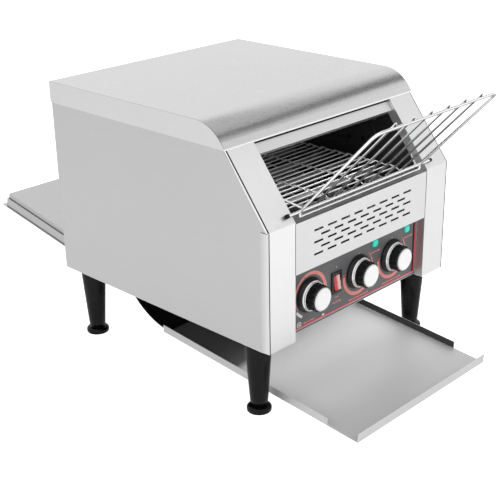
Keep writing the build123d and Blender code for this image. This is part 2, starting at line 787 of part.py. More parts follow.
def make_knob_trim(x):
    """The knob's bright ring and end cap, and the spindle behind it that it turns."""
    ring_back = knob_back - knob_skirt - knob_shoulder
    ring = RegularPolygon(knob_shoulder_radius, knob_sides) - RegularPolygon(
        knob_grip_radius + running_gap, knob_sides, major_radius=False)
    cap = facing(Pos(x, knob_z) * RegularPolygon(knob_cap_radius, knob_sides), knob_front - knob_cap, knob_front)
    spindle = facing(Pos(x, knob_z) * RegularPolygon(spindle_radius, 12), knob_back, regulator_front)
    return joined([facing(Pos(x, knob_z) * ring, ring_back - knob_ring, ring_back), cap, spindle])


regulator_front = panel_recess + fascia_sheet + casing_sheet + seam


def make_regulators():
    """The three rotary regulators behind the control panel."""
    back = regulator_front + regulator[2]
    return joined([block((x - regulator[0] / 2, x + regulator[0] / 2), (regulator_front, back),
                         (knob_z - regulator[1] / 2, knob_z + regulator[1] / 2)) for x in knob_x])


rocker_axis = panel_recess + 1.0


def make_rocker_housing():
    """The frame and case of the power switch."""
    bezel = Rectangle(rocker_case[0] + 2 * rocker_bezel, rocker_case[1] + 2 * rocker_bezel)
    well = Rectangle(rocker_size[0] + 2 * seam, rocker_size[1] + 2 * seam)
    place = Pos(rocker_x, rocker_z)
    frame = facing(place * bezel, panel_recess - 2.2, panel_recess)
    case = facing(place * Rectangle(*rocker_case), panel_recess, panel_recess + rocker_case_depth)
    return frame + case - facing(place * well, panel_recess - 5, panel_recess + rocker_case_depth / 2)


def make_rocker():
    """The rocker, at rest with its lower half standing out."""
    reach = rocker_size[1] / 2 - 1.8
    rise = reach * math.tan(math.radians(rocker_tilt))
    crown = rocker_axis - 4.0
    x0, x1 = rocker_x - rocker_size[0] / 2, rocker_x + rocker_size[0] / 2
    z = rocker_z
    return across([(crown + rise, z + reach), (crown, z), (crown - rise, z - reach),
                   (rocker_axis + 1, z - reach), (rocker_axis + 4, z - 4),
                   (rocker_axis + 4, z + 4), (rocker_axis + 3.5, z + reach)], x0, x1)


def make_lamps():
    """The two indicator lamps, with bevelled corners."""
    lamps = []
    for x in lamp_x:
        lens = Pos(x, lamp_z) * chamfer(Rectangle(*lamp_size).vertices(), lamp_corner)
        stem = Pos(x, lamp_z) * Rectangle(lamp_stem, lamp_stem)
        lamps.append(facing(lens, panel_recess - lamp_height, panel_recess)
                     + facing(stem, panel_recess, panel_recess + lamp_stem_length))
    return joined(lamps)


# ---- drive, fan and electrics ----
fan_size = 80.0
fan_centre = (0.0, 120.0)
fan_radius = fan_size / 2 - 2
fan_depth = 25.0
fan_slot_pitch = 9.0
fan_blades = 5
fan_low = body_bottom + casing_sheet + chamber_sheet
fan_hub = 14.0
gland_inset = 24.0           # from the machine's left side
gland_place = (gland_inset - half, 172.0)
gland_radius = 5.5
gland_bore = 3.6
gear_box = (62.0, 58.0, 14.0)
gear_motor = (17.0, 18.0)    # radius and length
gear_ear = (10.0, 8.0)       # how far it stands out, and half its height
terminal_block = (18.0, 36.0, 18.0)
terminal_inset = (16.0, 82.0)    # from the machine's left side and its back
terminal_x = terminal_inset[0] - half
terminal_y = body_depth - terminal_inset[1]


def make_gear_motor():
    """The gear box on the drive shaft's bearing, with its motor behind it."""
    near = bearing_end + seam
    width, height, thick = gear_box
    gears = block((near, near + thick), (belt_back - width / 2, belt_back + width / 2),
                  (shaft_z - height / 2, shaft_z + height / 2))
    motor = Pos(near + thick, belt_back, shaft_z) * extrude(
        Plane.YZ * RegularPolygon(gear_motor[0], 20), amount=gear_motor[1])
    ear = Pos(0, 0, shaft_z) * block((chamber_half + chamber_sheet + running_gap, near + 2),
                                     (width / 2, width / 2 + gear_ear[0]), (-gear_ear[1], gear_ear[1]))
    ears = Pos(0, belt_back, 0) * (ear + mirror(ear, about=Plane.XZ))
    bore = RegularPolygon(journal_radius + running_gap, journal_sides, major_radius=False)
    socket = Pos(near - 1, belt_back, shaft_z) * extrude(Plane.YZ * bore, amount=drive_reach + 1)
    return gears + motor + ears - socket


def make_fan_frame():
    """The square frame of the cooling fan, with its spider and axle."""
    x, y = fan_centre
    middle, top = fan_low + fan_depth / 2, fan_low + fan_depth - 1.5
    opening = Pos(0, 0, fan_low - 1) * extrude(RegularPolygon(fan_radius, 24), amount=fan_depth + 2)
    frame = Pos(0, 0, middle) * Box(fan_size, fan_size, fan_depth) - opening
    arms = Pos(0, 0, top) * (Box(fan_size - 2, 6, 3) + Box(6, fan_size - 2, 3))
    axle_foot = fan_low + 6
    axle = Pos(0, 0, axle_foot) * extrude(RegularPolygon(1.5, 8), amount=top - axle_foot)
    return Pos(x, y, 0) * (frame + arms + axle)


def make_fan_rotor():
    """The fan's hub with its twisted blades."""
    x, y = fan_centre
    low, high = fan_low + 3, fan_low + fan_depth - 5
    hub = Pos(0, 0, low) * extrude(RegularPolygon(fan_hub, 20), amount=high - low)
    blade_length = fan_radius - fan_hub - 1.5
    blade = Pos(fan_hub - 1 + blade_length / 2, 0, (low + high) / 2) * Rot(X=38) * Box(
        blade_length, 2, high - low - 2)
    rotor = hub
    for i in range(fan_blades):
        rotor += Rot(Z=i * 360 / fan_blades) * blade
    bore = Pos(0, 0, low + 2) * extrude(RegularPolygon(1.8, 8), amount=high - low)
    return Pos(x, y, 0) * (rotor - bore)


def make_terminal_block():
    """The block where the supply wires end, on the base plate."""
    low = body_bottom + casing_sheet + chamber_sheet
    width, depth, height = terminal_block
    body = block((terminal_x, terminal_x + width), (terminal_y, terminal_y + depth), (low, low + height))
    for i in range(3):
        place = terminal_y + depth / 2 + (i - 1) * 11
        body -= block((terminal_x + 5, terminal_x + width - 5), (place - 4, place + 4),
                      (low + height - 4, low + height + 1))
    return body


def make_gland():
    """The cable inlet in the rear panel, with no cable in it."""
    x, z = gland_place
    outline = Pos(x, z) * RegularPolygon(gland_radius, 16)
    bore = Pos(x, z) * RegularPolygon(gland_bore, 16)
    body = facing(outline, body_depth - casing_sheet - 7, body_depth + 9)
    nut = facing(Pos(x, z) * RegularPolygon(gland_radius + 2.5, 6), body_depth, body_depth + 5)
    return body + nut - facing(bore, body_depth - 20, body_depth + 20)


# ---- the machine ----
def build():
    parts["top_cover"] = make_lid()
    right_panel = make_side_panel()
    parts["right_side_panel"] = right_panel
    parts["left_side_panel"] = mirrored(right_panel)
    right_column = make_column()
    parts["right_front_column"] = right_column
    parts["left_front_column"] = mirrored(right_column)
    parts["front_lintel"] = make_lintel()
    parts["front_vent_panel"] = make_vent_panel()
    parts["control_panel"] = make_control_panel()
    parts["control_fascia"] = make_fascia()
    parts["base_plate"] = make_base_plate()
    parts["rear_panel"] = make_rear_panel()
    right_wall = make_chamber_wall()
    parts["right_chamber_wall"] = right_wall
    parts["left_chamber_wall"] = mirrored(right_wall)
    parts["heat_shield"] = make_heat_shield()
    parts["upper_reflector"] = make_reflector()
    parts["upper_heater_tubes"] = make_heaters(upper_heater_z)
    parts["lower_heater_tubes"] = make_heaters(lower_heater_z)
    parts["heater_holders"] = make_holders()
    parts["toast_chute"] = make_chute()
    parts["bread_tray"] = make_bread_tray()
    parts["rear_shelf_top"] = make_shelf_top()
    parts["rear_shelf_tray"] = make_shelf_tray()

    leg, foot = make_leg(), make_foot()
    for name, (x, y) in zip(("front_left", "front_right", "rear_left", "rear_right"), leg_places()):
        parts[name + "_leg"] = Pos(x, y, 0) * leg
        parts[name + "_foot"] = Pos(x, y, 0) * foot

    make_belt()
    parts["idler_shaft"] = make_shaft(belt_front, bearing_end)
    parts["drive_shaft"] = make_shaft(belt_back, bearing_end + drive_reach)
    parts["idler_sprockets"] = make_sprockets(belt_front)
    parts["drive_sprockets"] = make_sprockets(belt_back)
    parts["shaft_bearings"] = make_bearings()
    parts["gear_motor"] = make_gear_motor()
    parts["fan_frame"] = make_fan_frame()
    parts["fan_rotor"] = make_fan_rotor()

    for name, x in zip(knob_names, knob_x):
        parts[name] = make_knob(x)
        parts[name + "_trim"] = make_knob_trim(x)
    parts["heat_regulators"] = make_regulators()
    parts["power_switch_housing"] = make_rocker_housing()
    parts["power_rocker"] = make_rocker()
    parts["indicator_lamps"] = make_lamps()
    parts["terminal_block"] = make_terminal_block()
    parts["cable_gland"] = make_gland()
    parts["feed_rack"] = make_rack()
    parts["feed_rack_caps"] = make_rack_caps()


def export():
    """Write one file per piece, about an origin under the middle of the machine."""
    os.makedirs("parts", exist_ok=True)
    boxes = [piece.bounding_box() for piece in parts.values()]
    front = min(box.min.Y for box in boxes)
    back = max(box.max.Y for box in boxes)
    middle = (front + back) / 2
    for name, piece in parts.items():
        export_step(Pos(0, -middle, 0) * piece, f"parts/{name}.step")
    print(f"{len(parts)} pieces, column faces at y = {-middle:.4f}, box {back - front:.2f} deep")


build()
export()
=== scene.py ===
"""Looks of the conveyor toaster: materials, fine shapes, light and camera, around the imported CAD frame."""

import math

import bmesh
import bpy
from mathutils import Matrix, Vector


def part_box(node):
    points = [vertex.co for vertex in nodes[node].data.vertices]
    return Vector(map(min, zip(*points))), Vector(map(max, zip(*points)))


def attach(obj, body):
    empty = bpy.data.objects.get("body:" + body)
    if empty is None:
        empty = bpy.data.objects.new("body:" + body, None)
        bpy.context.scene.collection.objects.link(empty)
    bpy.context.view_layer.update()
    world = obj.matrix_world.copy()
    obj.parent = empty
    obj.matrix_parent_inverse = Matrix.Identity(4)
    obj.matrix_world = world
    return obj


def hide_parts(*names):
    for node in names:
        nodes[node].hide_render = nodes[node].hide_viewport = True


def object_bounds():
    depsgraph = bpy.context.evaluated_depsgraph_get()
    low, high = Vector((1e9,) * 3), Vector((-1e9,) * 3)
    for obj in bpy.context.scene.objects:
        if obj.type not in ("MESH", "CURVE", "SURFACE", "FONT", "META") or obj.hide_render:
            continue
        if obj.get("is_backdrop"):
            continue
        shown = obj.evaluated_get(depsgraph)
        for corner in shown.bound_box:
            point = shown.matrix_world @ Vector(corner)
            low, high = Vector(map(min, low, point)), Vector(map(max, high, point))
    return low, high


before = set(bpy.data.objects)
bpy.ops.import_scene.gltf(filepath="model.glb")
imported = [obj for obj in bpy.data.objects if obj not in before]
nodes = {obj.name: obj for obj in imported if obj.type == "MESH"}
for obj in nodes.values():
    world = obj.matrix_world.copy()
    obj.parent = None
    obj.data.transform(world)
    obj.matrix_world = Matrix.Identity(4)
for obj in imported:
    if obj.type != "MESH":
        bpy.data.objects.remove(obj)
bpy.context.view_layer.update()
scene = bpy.context.scene

X, Y, Z = 0, 1, 2
MM = 0.001
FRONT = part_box("left_front_column")[0].y / MM      # y of the column faces, in the row frame


def mm(x, y, z):
    """A point given in millimetres from the column faces, the middle plane and the floor, in metres."""
    return Vector((x * MM, (FRONT + y) * MM, z * MM))


def span(node, axis):
    """A node's lowest and highest place along an axis, in millimetres as mm() takes them."""
    return [corner[axis] / MM - (FRONT if axis == Y else 0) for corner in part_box(node)]


def middle(node):
    """The middle of a node's box, (x, y, z), in millimetres as mm() takes them."""
    return [sum(span(node, axis)) / 2 for axis in (X, Y, Z)]


# Sizes and places in millimetres, as mm() takes them.
SLOPE_FOOT, SLOPE_TOP = (0.0, 262.3), (68.2, 350.0)   # side view of the columns' sloping face, (y, z)
SLOPE = math.atan2(SLOPE_TOP[1] - SLOPE_FOOT[1], SLOPE_TOP[0] - SLOPE_FOOT[0])
SLOPE_LENGTH = (SLOPE_TOP[0] - SLOPE_FOOT[0]) / math.cos(SLOPE)
LID_HALF = span("top_cover", X)[1]
TRAY_HALF = span("bread_tray", X)[1]
COLUMN_INNER, COLUMN_OUTER = span("right_front_column", X)
PANEL_LOW, PANEL_TOP = span("front_vent_panel", Z)
STRIP = 13.0                # depth of the side panels' bent front strip
SHADED_FROM = 122.5        # y where the painted shade on the tray's rear begins
ROCKER_X, _, ROCKER_Z = middle("power_rocker")


def on_slope(up, out):
    """A (y, z) point of the columns' sloping face, up along it from its foot and out from it."""
    return (up * math.cos(SLOPE) - out * math.sin(SLOPE),
            SLOPE_FOOT[1] + up * math.sin(SLOPE) + out * math.cos(SLOPE))


# ---- materials ----
EVEN, ALONG_X, ALONG_Y, ALONG_Z = (1, 1, 1), (0.02, 1, 1), (1, 0.02, 1), (1, 1, 0.02)   # stretch of a noise


class Finish:
    """A procedural material: a principled surface whose colour, roughness and bump vary over it."""

    def __init__(self, name, colour, metallic=0.0, roughness=0.5):
        self.material = bpy.data.materials.new(name)
        self.material.use_nodes = True
        self.tree = self.material.node_tree
        self.surface = self.tree.nodes["Principled BSDF"]
        self.surface.inputs["Metallic"].default_value = metallic
        coordinates = self.node("ShaderNodeTexCoord")
        self.place, self.normal = coordinates.outputs["Object"], coordinates.outputs["Normal"]
        self.colour = self.speckled(colour)
        self.roughness, self.rougher = roughness, None
        self.bump = None

    def node(self, kind, **settings):
        made = self.tree.nodes.new(kind)
        for key, value in settings.items():
            setattr(made, key, value)
        return made

    def link(self, source, target):
        self.tree.links.new(source, target)

    def speckled(self, colour):
        """A starting colour with a faint fine speckle, which later layers are mixed over."""
        ramp = self.node("ShaderNodeValToRGB")
        ramp.color_ramp.elements[0].color = (*[c * 0.96 for c in colour], 1)
        ramp.color_ramp.elements[1].color = (*[min(1, c * 1.04) for c in colour], 1)
        self.link(self.noise(EVEN, 900, 2), ramp.inputs["Fac"])
        return ramp.outputs["Color"]

    def noise(self, stretch, scale, detail=4, roughness=0.55, distortion=0.0):
        """Noise over the object, drawn out along the axis whose stretch is small."""
        mapping = self.node("ShaderNodeMapping")
        mapping.inputs["Scale"].default_value = stretch
        self.link(self.place, mapping.inputs["Vector"])
        noise = self.node("ShaderNodeTexNoise")
        noise.inputs["Scale"].default_value = scale
        noise.inputs["Detail"].default_value = detail
        noise.inputs["Roughness"].default_value = roughness
        noise.inputs["Distortion"].default_value = distortion
        self.link(mapping.outputs["Vector"], noise.inputs["Vector"])
        return noise.outputs["Fac"]

    def band(self, value, low, high, to_low=0.0, to_high=1.0):
        """Carries value from the range low to high to the range to_low to to_high, and stops at its ends."""
        spread = self.node("ShaderNodeMapRange")
        spread.inputs["From Min"].default_value = low
        spread.inputs["From Max"].default_value = high
        spread.inputs["To Min"].default_value = to_low
        spread.inputs["To Max"].default_value = to_high
        self.link(value, spread.inputs["Value"])
        return spread.outputs["Result"]

    def tint(self, value, colour):
        """Mixes a colour over the surface where value is 1, and less of it where value is less."""
        mix = self.node("ShaderNodeMix", data_type="RGBA")
        mix.clamp_factor = True
        self.link(value, mix.inputs["Factor"])
        self.link(self.colour, mix.inputs["A"])
        mix.inputs["B"].default_value = (*colour, 1)
        self.colour = mix.outputs["Result"]

    def rough(self, value, amount):
        """Makes the surface rougher by half of amount where value is 1, and smoother where it is 0."""
        part = self.band(value, 0, 1, -amount / 2, amount / 2)
        self.rougher = part if self.rougher is None else self.join(self.rougher, part, "ADD")

    def height(self, value, strength, distance):
        """Raises the surface where value is high, by a bump over the earlier ones."""
        bump = self.node("ShaderNodeBump")
        bump.inputs["Strength"].default_value = strength
        bump.inputs["Distance"].default_value = distance
        self.link(value, bump.inputs["Height"])
        if self.bump is not None:
            self.link(self.bump, bump.inputs["Normal"])
        self.bump = bump.outputs["Normal"]

    def edges(self, width):
        """1 along sharp edges and 0 on flat faces."""
        bevel = self.node("ShaderNodeBevel", samples=4)
        bevel.inputs["Radius"].default_value = width
        geometry = self.node("ShaderNodeNewGeometry")
        dot = self.node("ShaderNodeVectorMath", operation="DOT_PRODUCT")
        self.link(bevel.outputs["Normal"], dot.inputs[0])
        self.link(geometry.outputs["Normal"], dot.inputs[1])
        return self.band(dot.outputs["Value"], 0.99, 0.86)

    def join(self, first, second, operation="MULTIPLY"):
        """The product of two values, or what another operation makes of them."""
        both = self.node("ShaderNodeMath", operation=operation)
        self.link(first, both.inputs[0])
        self.link(second, both.inputs[1])
        return both.outputs[0]

    def size(self, value):
        """The value without its sign."""
        positive = self.node("ShaderNodeMath", operation="ABSOLUTE")
        self.link(value, positive.inputs[0])
        return positive.outputs[0]

    def dot(self, vector, direction):
        product = self.node("ShaderNodeVectorMath", operation="DOT_PRODUCT")
        self.link(vector, product.inputs[0])
        product.inputs[1].default_value = direction
        return product.outputs["Value"]

    def along(self, direction, offset=0.0):
        """How far a surface point lies along a direction, in metres from an offset."""
        away = self.node("ShaderNodeMath", operation="SUBTRACT")
        self.link(self.dot(self.place, direction), away.inputs[0])
        away.inputs[1].default_value = offset
        return away.outputs[0]

    def facing(self, direction):
        """1 on faces that look along a direction, 0 on those at a right angle to it, and less behind."""
        return self.dot(self.normal, direction)

    def inner_side(self, near, far):
        """1 on faces that look sideways within near of the middle plane, fading to 0 at far."""
        sideways = self.band(self.size(self.facing((1, 0, 0))), 0.8, 0.9)
        return self.join(sideways, self.band(self.size(self.along((1, 0, 0))), far, near))

    def set(self, **sockets):
        for name, value in sockets.items():
            self.surface.inputs[name.replace("_", " ")].default_value = value
        return self

    def done(self):
        """Links the layers to the surface and gives the material."""
        self.link(self.colour, self.surface.inputs["Base Color"])
        total = self.node("ShaderNodeMath", operation="ADD")
        total.use_clamp = True
        total.inputs[1].default_value = self.roughness
        self.link(self.rougher, total.inputs[0])
        self.link(total.outputs[0], self.surface.inputs["Roughness"])
        self.link(self.bump, self.surface.inputs["Normal"])
        return self.material


def steel(name, colour, grain, roughness=0.34, metallic=0.85, smudge=0.5, ripple=1.0, extra=None):
    """Brushed stainless steel, with its grain along one axis, faint smudges and bright worn edges."""
    finish = Finish(name, (colour, colour, colour * 1.005), metallic, roughness)
    fine = finish.noise(grain, 2600, 3, 0.7)
    coarse = finish.noise(grain, 700, 4, 0.6)
    cloud = finish.noise(EVEN, 9, 3, 0.5, 0.4)
    finish.tint(finish.band(coarse, 0.35, 0.75, 0, 0.16), (colour * 0.82,) * 3)
    finish.tint(finish.band(fine, 0.5, 0.8, 0, 0.2), (min(1, colour * 1.12),) * 3)
    finish.tint(finish.band(cloud, 0.4, 0.75, 0, 0.12 * smudge), (colour * 0.86,) * 3)
    finish.tint(finish.band(finish.edges(0.0006), 0.2, 1, 0, 0.5), (min(1, colour * 1.2),) * 3)
    finish.rough(fine, 0.16)
    finish.rough(cloud, 0.10 * smudge)
    finish.height(coarse, 0.10 * ripple, 0.00012)
    finish.height(fine, 0.14 * ripple, 0.00006)
    if extra:
        extra(finish)
    return finish.done()


def plastic(name, colour, roughness, grain=0.3, wear=0.25, coat=0.0, shine=0.5):
    """Moulded plastic, rubber or paint with a fine texture and lighter worn edges."""
    finish = Finish(name, colour, 0.0, roughness)
    finish.set(Specular_IOR_Level=shine)
    fine = finish.noise(EVEN, 1800, 3, 0.6)
    dust = finish.noise(EVEN, 60, 5, 0.65, 0.3)
    light = tuple(min(1, c * 1.5 + 0.03) for c in colour)
    finish.tint(finish.band(dust, 0.5, 0.8, 0, 0.22), light)
    finish.tint(finish.band(finish.edges(0.0005), 0.2, 1, 0, wear), tuple(min(1, c + 0.10) for c in colour))
    finish.rough(fine, 0.12)
    finish.rough(dust, 0.16)
    finish.height(fine, grain, 0.00008)
    if coat:
        finish.set(Coat_Weight=coat, Coat_Roughness=0.12)
    return finish.done()


def chrome(name, colour, roughness, underside_shade):
    """Plated wire with slight haze, tiny pits and painted shade on its underside."""
    finish = Finish(name, (colour, colour, colour * 1.01), 1.0, roughness)
    haze = finish.noise(EVEN, 140, 4, 0.6)
    pits = finish.noise(EVEN, 2400, 2, 0.5)
    finish.tint(finish.band(haze, 0.5, 0.8, 0, 0.25), (colour * 0.78,) * 3)
    finish.tint(finish.band(pits, 0.68, 0.78, 0, 0.35), (colour * 0.5,) * 3)
    # Painted shade: faces that look down and to the front are darkened.
    below = finish.facing((0, -0.66, -0.75))
    finish.tint(finish.band(below, *underside_shade, 0, 0.9), (0.02,) * 3)
    finish.rough(haze, 0.16)
    finish.height(pits, 0.08, 0.00005)
    return finish.done()


def tray_steel():
    """The tray's duller steel, with painted shade on its rear under the chute and a painted dark reflection
    on the inner faces of its side flanges.
    """
    finish = Finish("steel_tray", (0.70, 0.70, 0.703), 0.45, 0.5)
    fine = finish.noise(ALONG_Y, 2600, 3, 0.7)
    coarse = finish.noise(ALONG_Y, 700, 4, 0.6)
    cloud = finish.noise(EVEN, 9, 3, 0.5, 0.4)
    finish.tint(finish.band(coarse, 0.35, 0.75, 0, 0.14), (0.62,) * 3)
    finish.tint(finish.band(cloud, 0.4, 0.75, 0, 0.08), (0.62,) * 3)
    # Painted shade: the upward faces of the tray's rear, under the chute, are darkened.
    upward = finish.band(finish.facing((0, 0, 1)), 0.7, 0.9)
    rear_shade = finish.band(finish.along((-0.15, 1, 0), (FRONT + SHADED_FROM) * MM), 0, 0.012, 0, 0.86)
    finish.tint(finish.join(upward, rear_shade), (0.05,) * 3)
    # Painted dark reflection on the inner faces of the side flanges.
    finish.tint(finish.inner_side((TRAY_HALF - 0.9) * MM, (TRAY_HALF - 0.4) * MM), (0.06,) * 3)
    finish.rough(fine, 0.16)
    finish.height(coarse, 0.10, 0.00012)
    finish.height(fine, 0.14, 0.00006)
    return finish.done()


def front_hem(finish):
    """The side panels' bent front strip: a painted highlight, paler towards the front, a painted shadow just
    under the step at its top, and a painted highlight along the sloping edge above it.
    """
    back = finish.along((0, 1, 0), FRONT * MM)
    below = finish.along((0, 0, -1), -SLOPE_FOOT[1] * MM)
    under_slope = finish.band(below, -0.0004, 0.0002)
    # Painted highlight, paler towards the front.
    lighter = finish.band(back, (STRIP - 0.2) * MM, 0.0015)
    finish.tint(finish.join(lighter, under_slope), (0.74,) * 3)
    # Painted shadow: cut is a thin dark band just under the step at the strip's top.
    cut = finish.join(finish.band(below, 0.0018, 0.0012), finish.band(back, (STRIP - 0.5) * MM, 0.0085))
    finish.tint(finish.join(cut, under_slope), (0.06,) * 3)
    # Painted highlight along the sloping edge above the strip.
    into_slope = (0, math.sin(SLOPE), -math.cos(SLOPE))
    face = (FRONT * math.sin(SLOPE) - SLOPE_FOOT[1] * math.cos(SLOPE)) * MM
    finish.tint(finish.band(finish.along(into_slope, face), 0.0018, 0.0012), (0.95,) * 3)


def lid_fold(finish):
    """Painted shade in a darker line along the folds at the lid's sides, and a painted highlight along its
    front edge.
    """
    upward = finish.band(finish.facing((0, 0, 1)), 0.5, 0.6)
    sideways = finish.size(finish.along((1, 0, 0)))
    # Painted shade along the top of the side folds.
    fold_shade = finish.band(sideways, (LID_HALF - 1.6) * MM, (LID_HALF - 0.8) * MM, 0, 0.55)
    finish.tint(finish.join(upward, fold_shade), (0.22,) * 3)
    # Painted highlight along the lid's front edge.
    up_slope = (0, math.cos(SLOPE), math.sin(SLOPE))
    edge = (FRONT * math.cos(SLOPE) + SLOPE_FOOT[1] * math.sin(SLOPE) + SLOPE_LENGTH) * MM
    finish.tint(finish.band(finish.along(up_slope, edge), 0.0014, 0.0008), (1.0,) * 3)


def shaded_shelf_sides(finish):
    """Painted shade on the shelf pans' sides, most so on the narrower upper pan."""
    finish.tint(finish.inner_side(160 * MM, 175 * MM), (0.43,) * 3)


def shaded_recess_return(finish):
    """Painted shade on the inner faces of the columns beside the control panel."""
    below = finish.band(finish.along((0, 0, 1)), (PANEL_LOW + 0.5) * MM, (PANEL_LOW - 0.5) * MM)
    inner = finish.inner_side((COLUMN_INNER + 1.9) * MM, (COLUMN_INNER + 2.9) * MM)
    finish.tint(finish.join(inner, below), (0.70,) * 3)


def shaded_slot_faces(finish):
    """Painted shade on the level faces inside the vent slots, away from the panel's top and foot."""
    height = finish.along((0, 0, 1))
    level = finish.band(finish.size(finish.facing((0, 0, 1))), 0.25, 0.6)
    under_top = finish.band(height, (PANEL_TOP - 5.5) * MM, (PANEL_TOP - 7.5) * MM)
    over_foot = finish.band(height, (PANEL_LOW + 3.0) * MM, (PANEL_LOW + 5.0) * MM)
    finish.tint(finish.join(finish.join(level, under_top), over_foot), (0.03,) * 3)


LOOKS = {
    # The casing steels from here to the shelf are lit and shaded copies of one brushed steel: their tones are
    # painted light and shade, palest on the near column and darkest on the side panels and the shelf.
    "side": steel("steel_side", 0.55, ALONG_Y, extra=front_hem),
    "lid": steel("steel_lid", 0.67, ALONG_X, roughness=0.27, ripple=0.4, extra=lid_fold),
    "column": steel("steel_column", 0.86, ALONG_Z, extra=shaded_recess_return),
    "column_in_shade": steel("steel_column_in_shade", 0.78, ALONG_Z, extra=shaded_recess_return),
    "front": steel("steel_front", 0.74, ALONG_X),
    "vent": steel("steel_vent", 0.72, ALONG_X, extra=shaded_slot_faces),
    "tray": tray_steel(),
    "shelf": steel("steel_shelf", 0.58, ALONG_X, extra=shaded_shelf_sides),
    "bright": steel("steel_bright", 0.86, ALONG_X, roughness=0.2),
    "inside": steel("steel_inside", 0.07, ALONG_Y, roughness=0.38, smudge=1.2),
    "plain": steel("steel_plain", 0.45, ALONG_Y, roughness=0.42),
    "belt": steel("belt_wire", 0.92, EVEN, roughness=0.3, metallic=0.25),
    "chrome": chrome("rack_chrome", 0.95, 0.26, (0.6, 0.9)),
    "wire": chrome("rack_wire_chrome", 0.90, 0.24, (-0.1, 0.4)),
    "enamel": plastic("black_enamel", (0.006, 0.006, 0.007), 0.34, shine=0.16),
    "fascia": plastic("fascia_print", (0.125, 0.125, 0.13), 0.42, 0.15),
    "leg": plastic("leg_black", (0.004, 0.004, 0.005), 0.22, 0.1, 0.1, shine=0.18),
    "rubber": plastic("foot_rubber", (0.003, 0.003, 0.003), 0.12, 0.1, 0.25, shine=0.2),
    "knob": plastic("knob_black", (0.004, 0.004, 0.0045), 0.30, 0.2, 0.15, shine=0.4),
    "trim": steel("bright_trim", 0.95, EVEN, roughness=0.3, metallic=0.6),
    "ring": steel("knob_ring", 0.80, EVEN, roughness=0.24, metallic=0.95, smudge=2.0),
    "rim": steel("knob_rim", 0.62, EVEN, roughness=0.22, metallic=0.9),
    "switch": plastic("switch_black", (0.006, 0.006, 0.006), 0.35, 0.3),
    "quartz": plastic("heater_glass", (0.30, 0.30, 0.30), 0.25, 0.1, 0.0, coat=0.3),
    "ceramic": plastic("ceramic_grey", (0.16, 0.16, 0.155), 0.5, 0.4, 0.1),
    "brass": steel("bearing_metal", 0.5, EVEN, roughness=0.4),
    "moulded": plastic("moulded_black", (0.02, 0.02, 0.021), 0.5, 0.5),
    "pale": plastic("pale_plastic", (0.62, 0.62, 0.57), 0.45, 0.3),
    "pink": plastic("scale_pink", (0.94, 0.31, 0.28), 0.45, 0.1, 0.0),
    "print_red": plastic("print_red", (0.80, 0.075, 0.11), 0.45, 0.1, 0.0),
    "white": plastic("mark_white", (0.95, 0.95, 0.95), 0.45, 0.1, 0.0),
    "shade": steel("steel_shade", 0.16, ALONG_X),
    "card": plastic("card_grey", (0.7, 0.7, 0.7), 0.9),
    "dark": plastic("hole_dark", (0.003, 0.003, 0.003), 0.7, 0.2, 0.0, shine=0.2),
}


def rocker_red():
    """Translucent red plastic, with a painted highlight that makes its right half paler."""
    finish = Finish("rocker_red", (0.62, 0.012, 0.012), 0.0, 0.2)
    # Painted highlight, paler towards the right.
    painted_highlight = finish.band(finish.along((1, 0, 0), ROCKER_X * MM), -0.0018, 0.0022)
    finish.tint(painted_highlight, (0.95, 0.55, 0.50))
    finish.height(finish.noise(EVEN, 1500, 3), 0.1, 0.00006)
    finish.rough(finish.noise(EVEN, 120, 4), 0.12)
    return finish.set(Coat_Weight=0.5, Coat_Roughness=0.1).done()


def lamp_lens():
    """Green-blue plastic with a faint light of its own."""
    finish = Finish("lamp_lens", (0.0, 0.66, 0.50), 0.0, 0.16)
    finish.tint(finish.band(finish.noise(EVEN, 320, 3), 0.4, 0.8, 0, 0.5), (0.0, 0.86, 0.68))
    finish.height(finish.noise(EVEN, 700, 2), 0.12, 0.00008)
    finish.rough(finish.noise(EVEN, 120, 4), 0.12)
    finish.link(finish.colour, finish.surface.inputs["Emission Color"])
    return finish.set(Coat_Weight=0.5, Coat_Roughness=0.1, Emission_Strength=0.25).done()


LOOKS["red"], LOOKS["lamp"] = rocker_red(), lamp_lens()

# ---- finishes and soft edges of the CAD nodes ----
NODE_LOOKS = {
    "side": "left_side_panel right_side_panel rear_panel",
    "lid": "top_cover",
    "column": "left_front_column",
    "column_in_shade": "right_front_column",
    "front": "front_lintel",
    "vent": "front_vent_panel",
    "tray": "bread_tray",
    "shelf": "rear_shelf_top rear_shelf_tray",
    "bright": "upper_reflector",
    "inside": "left_chamber_wall right_chamber_wall heat_shield",
    "plain": "base_plate control_panel drive_shaft idler_shaft drive_sprockets idler_sprockets gear_motor",
    "fascia": "control_fascia",
    "enamel": "toast_chute",
    "ceramic": "heater_holders",
    "brass": "shaft_bearings",
    "pale": "heat_regulators terminal_block",
    "moulded": "fan_frame fan_rotor cable_gland",
    "switch": "power_switch_housing",
    "belt": "belt_top_run belt_bottom_run belt_front_turn belt_rear_turn",
    "chrome": "feed_rack",
    "rubber": "front_left_foot front_right_foot rear_left_foot rear_right_foot feed_rack_caps",
    "leg": "front_left_leg front_right_leg rear_left_leg rear_right_leg",
    "quartz": "upper_heater_tubes lower_heater_tubes",
    "knob": "upper_heat_knob lower_heat_knob speed_knob",
    "trim": "upper_heat_knob_trim lower_heat_knob_trim speed_knob_trim",
    "red": "power_rocker",
    "lamp": "indicator_lamps",
}
SOFT_EDGE = 0.4             # mm
SOFTENED = ("top_cover left_side_panel right_side_panel rear_panel left_front_column right_front_column "
            "front_lintel front_vent_panel bread_tray rear_shelf_top rear_shelf_tray control_fascia "
            "power_switch_housing toast_chute upper_reflector")


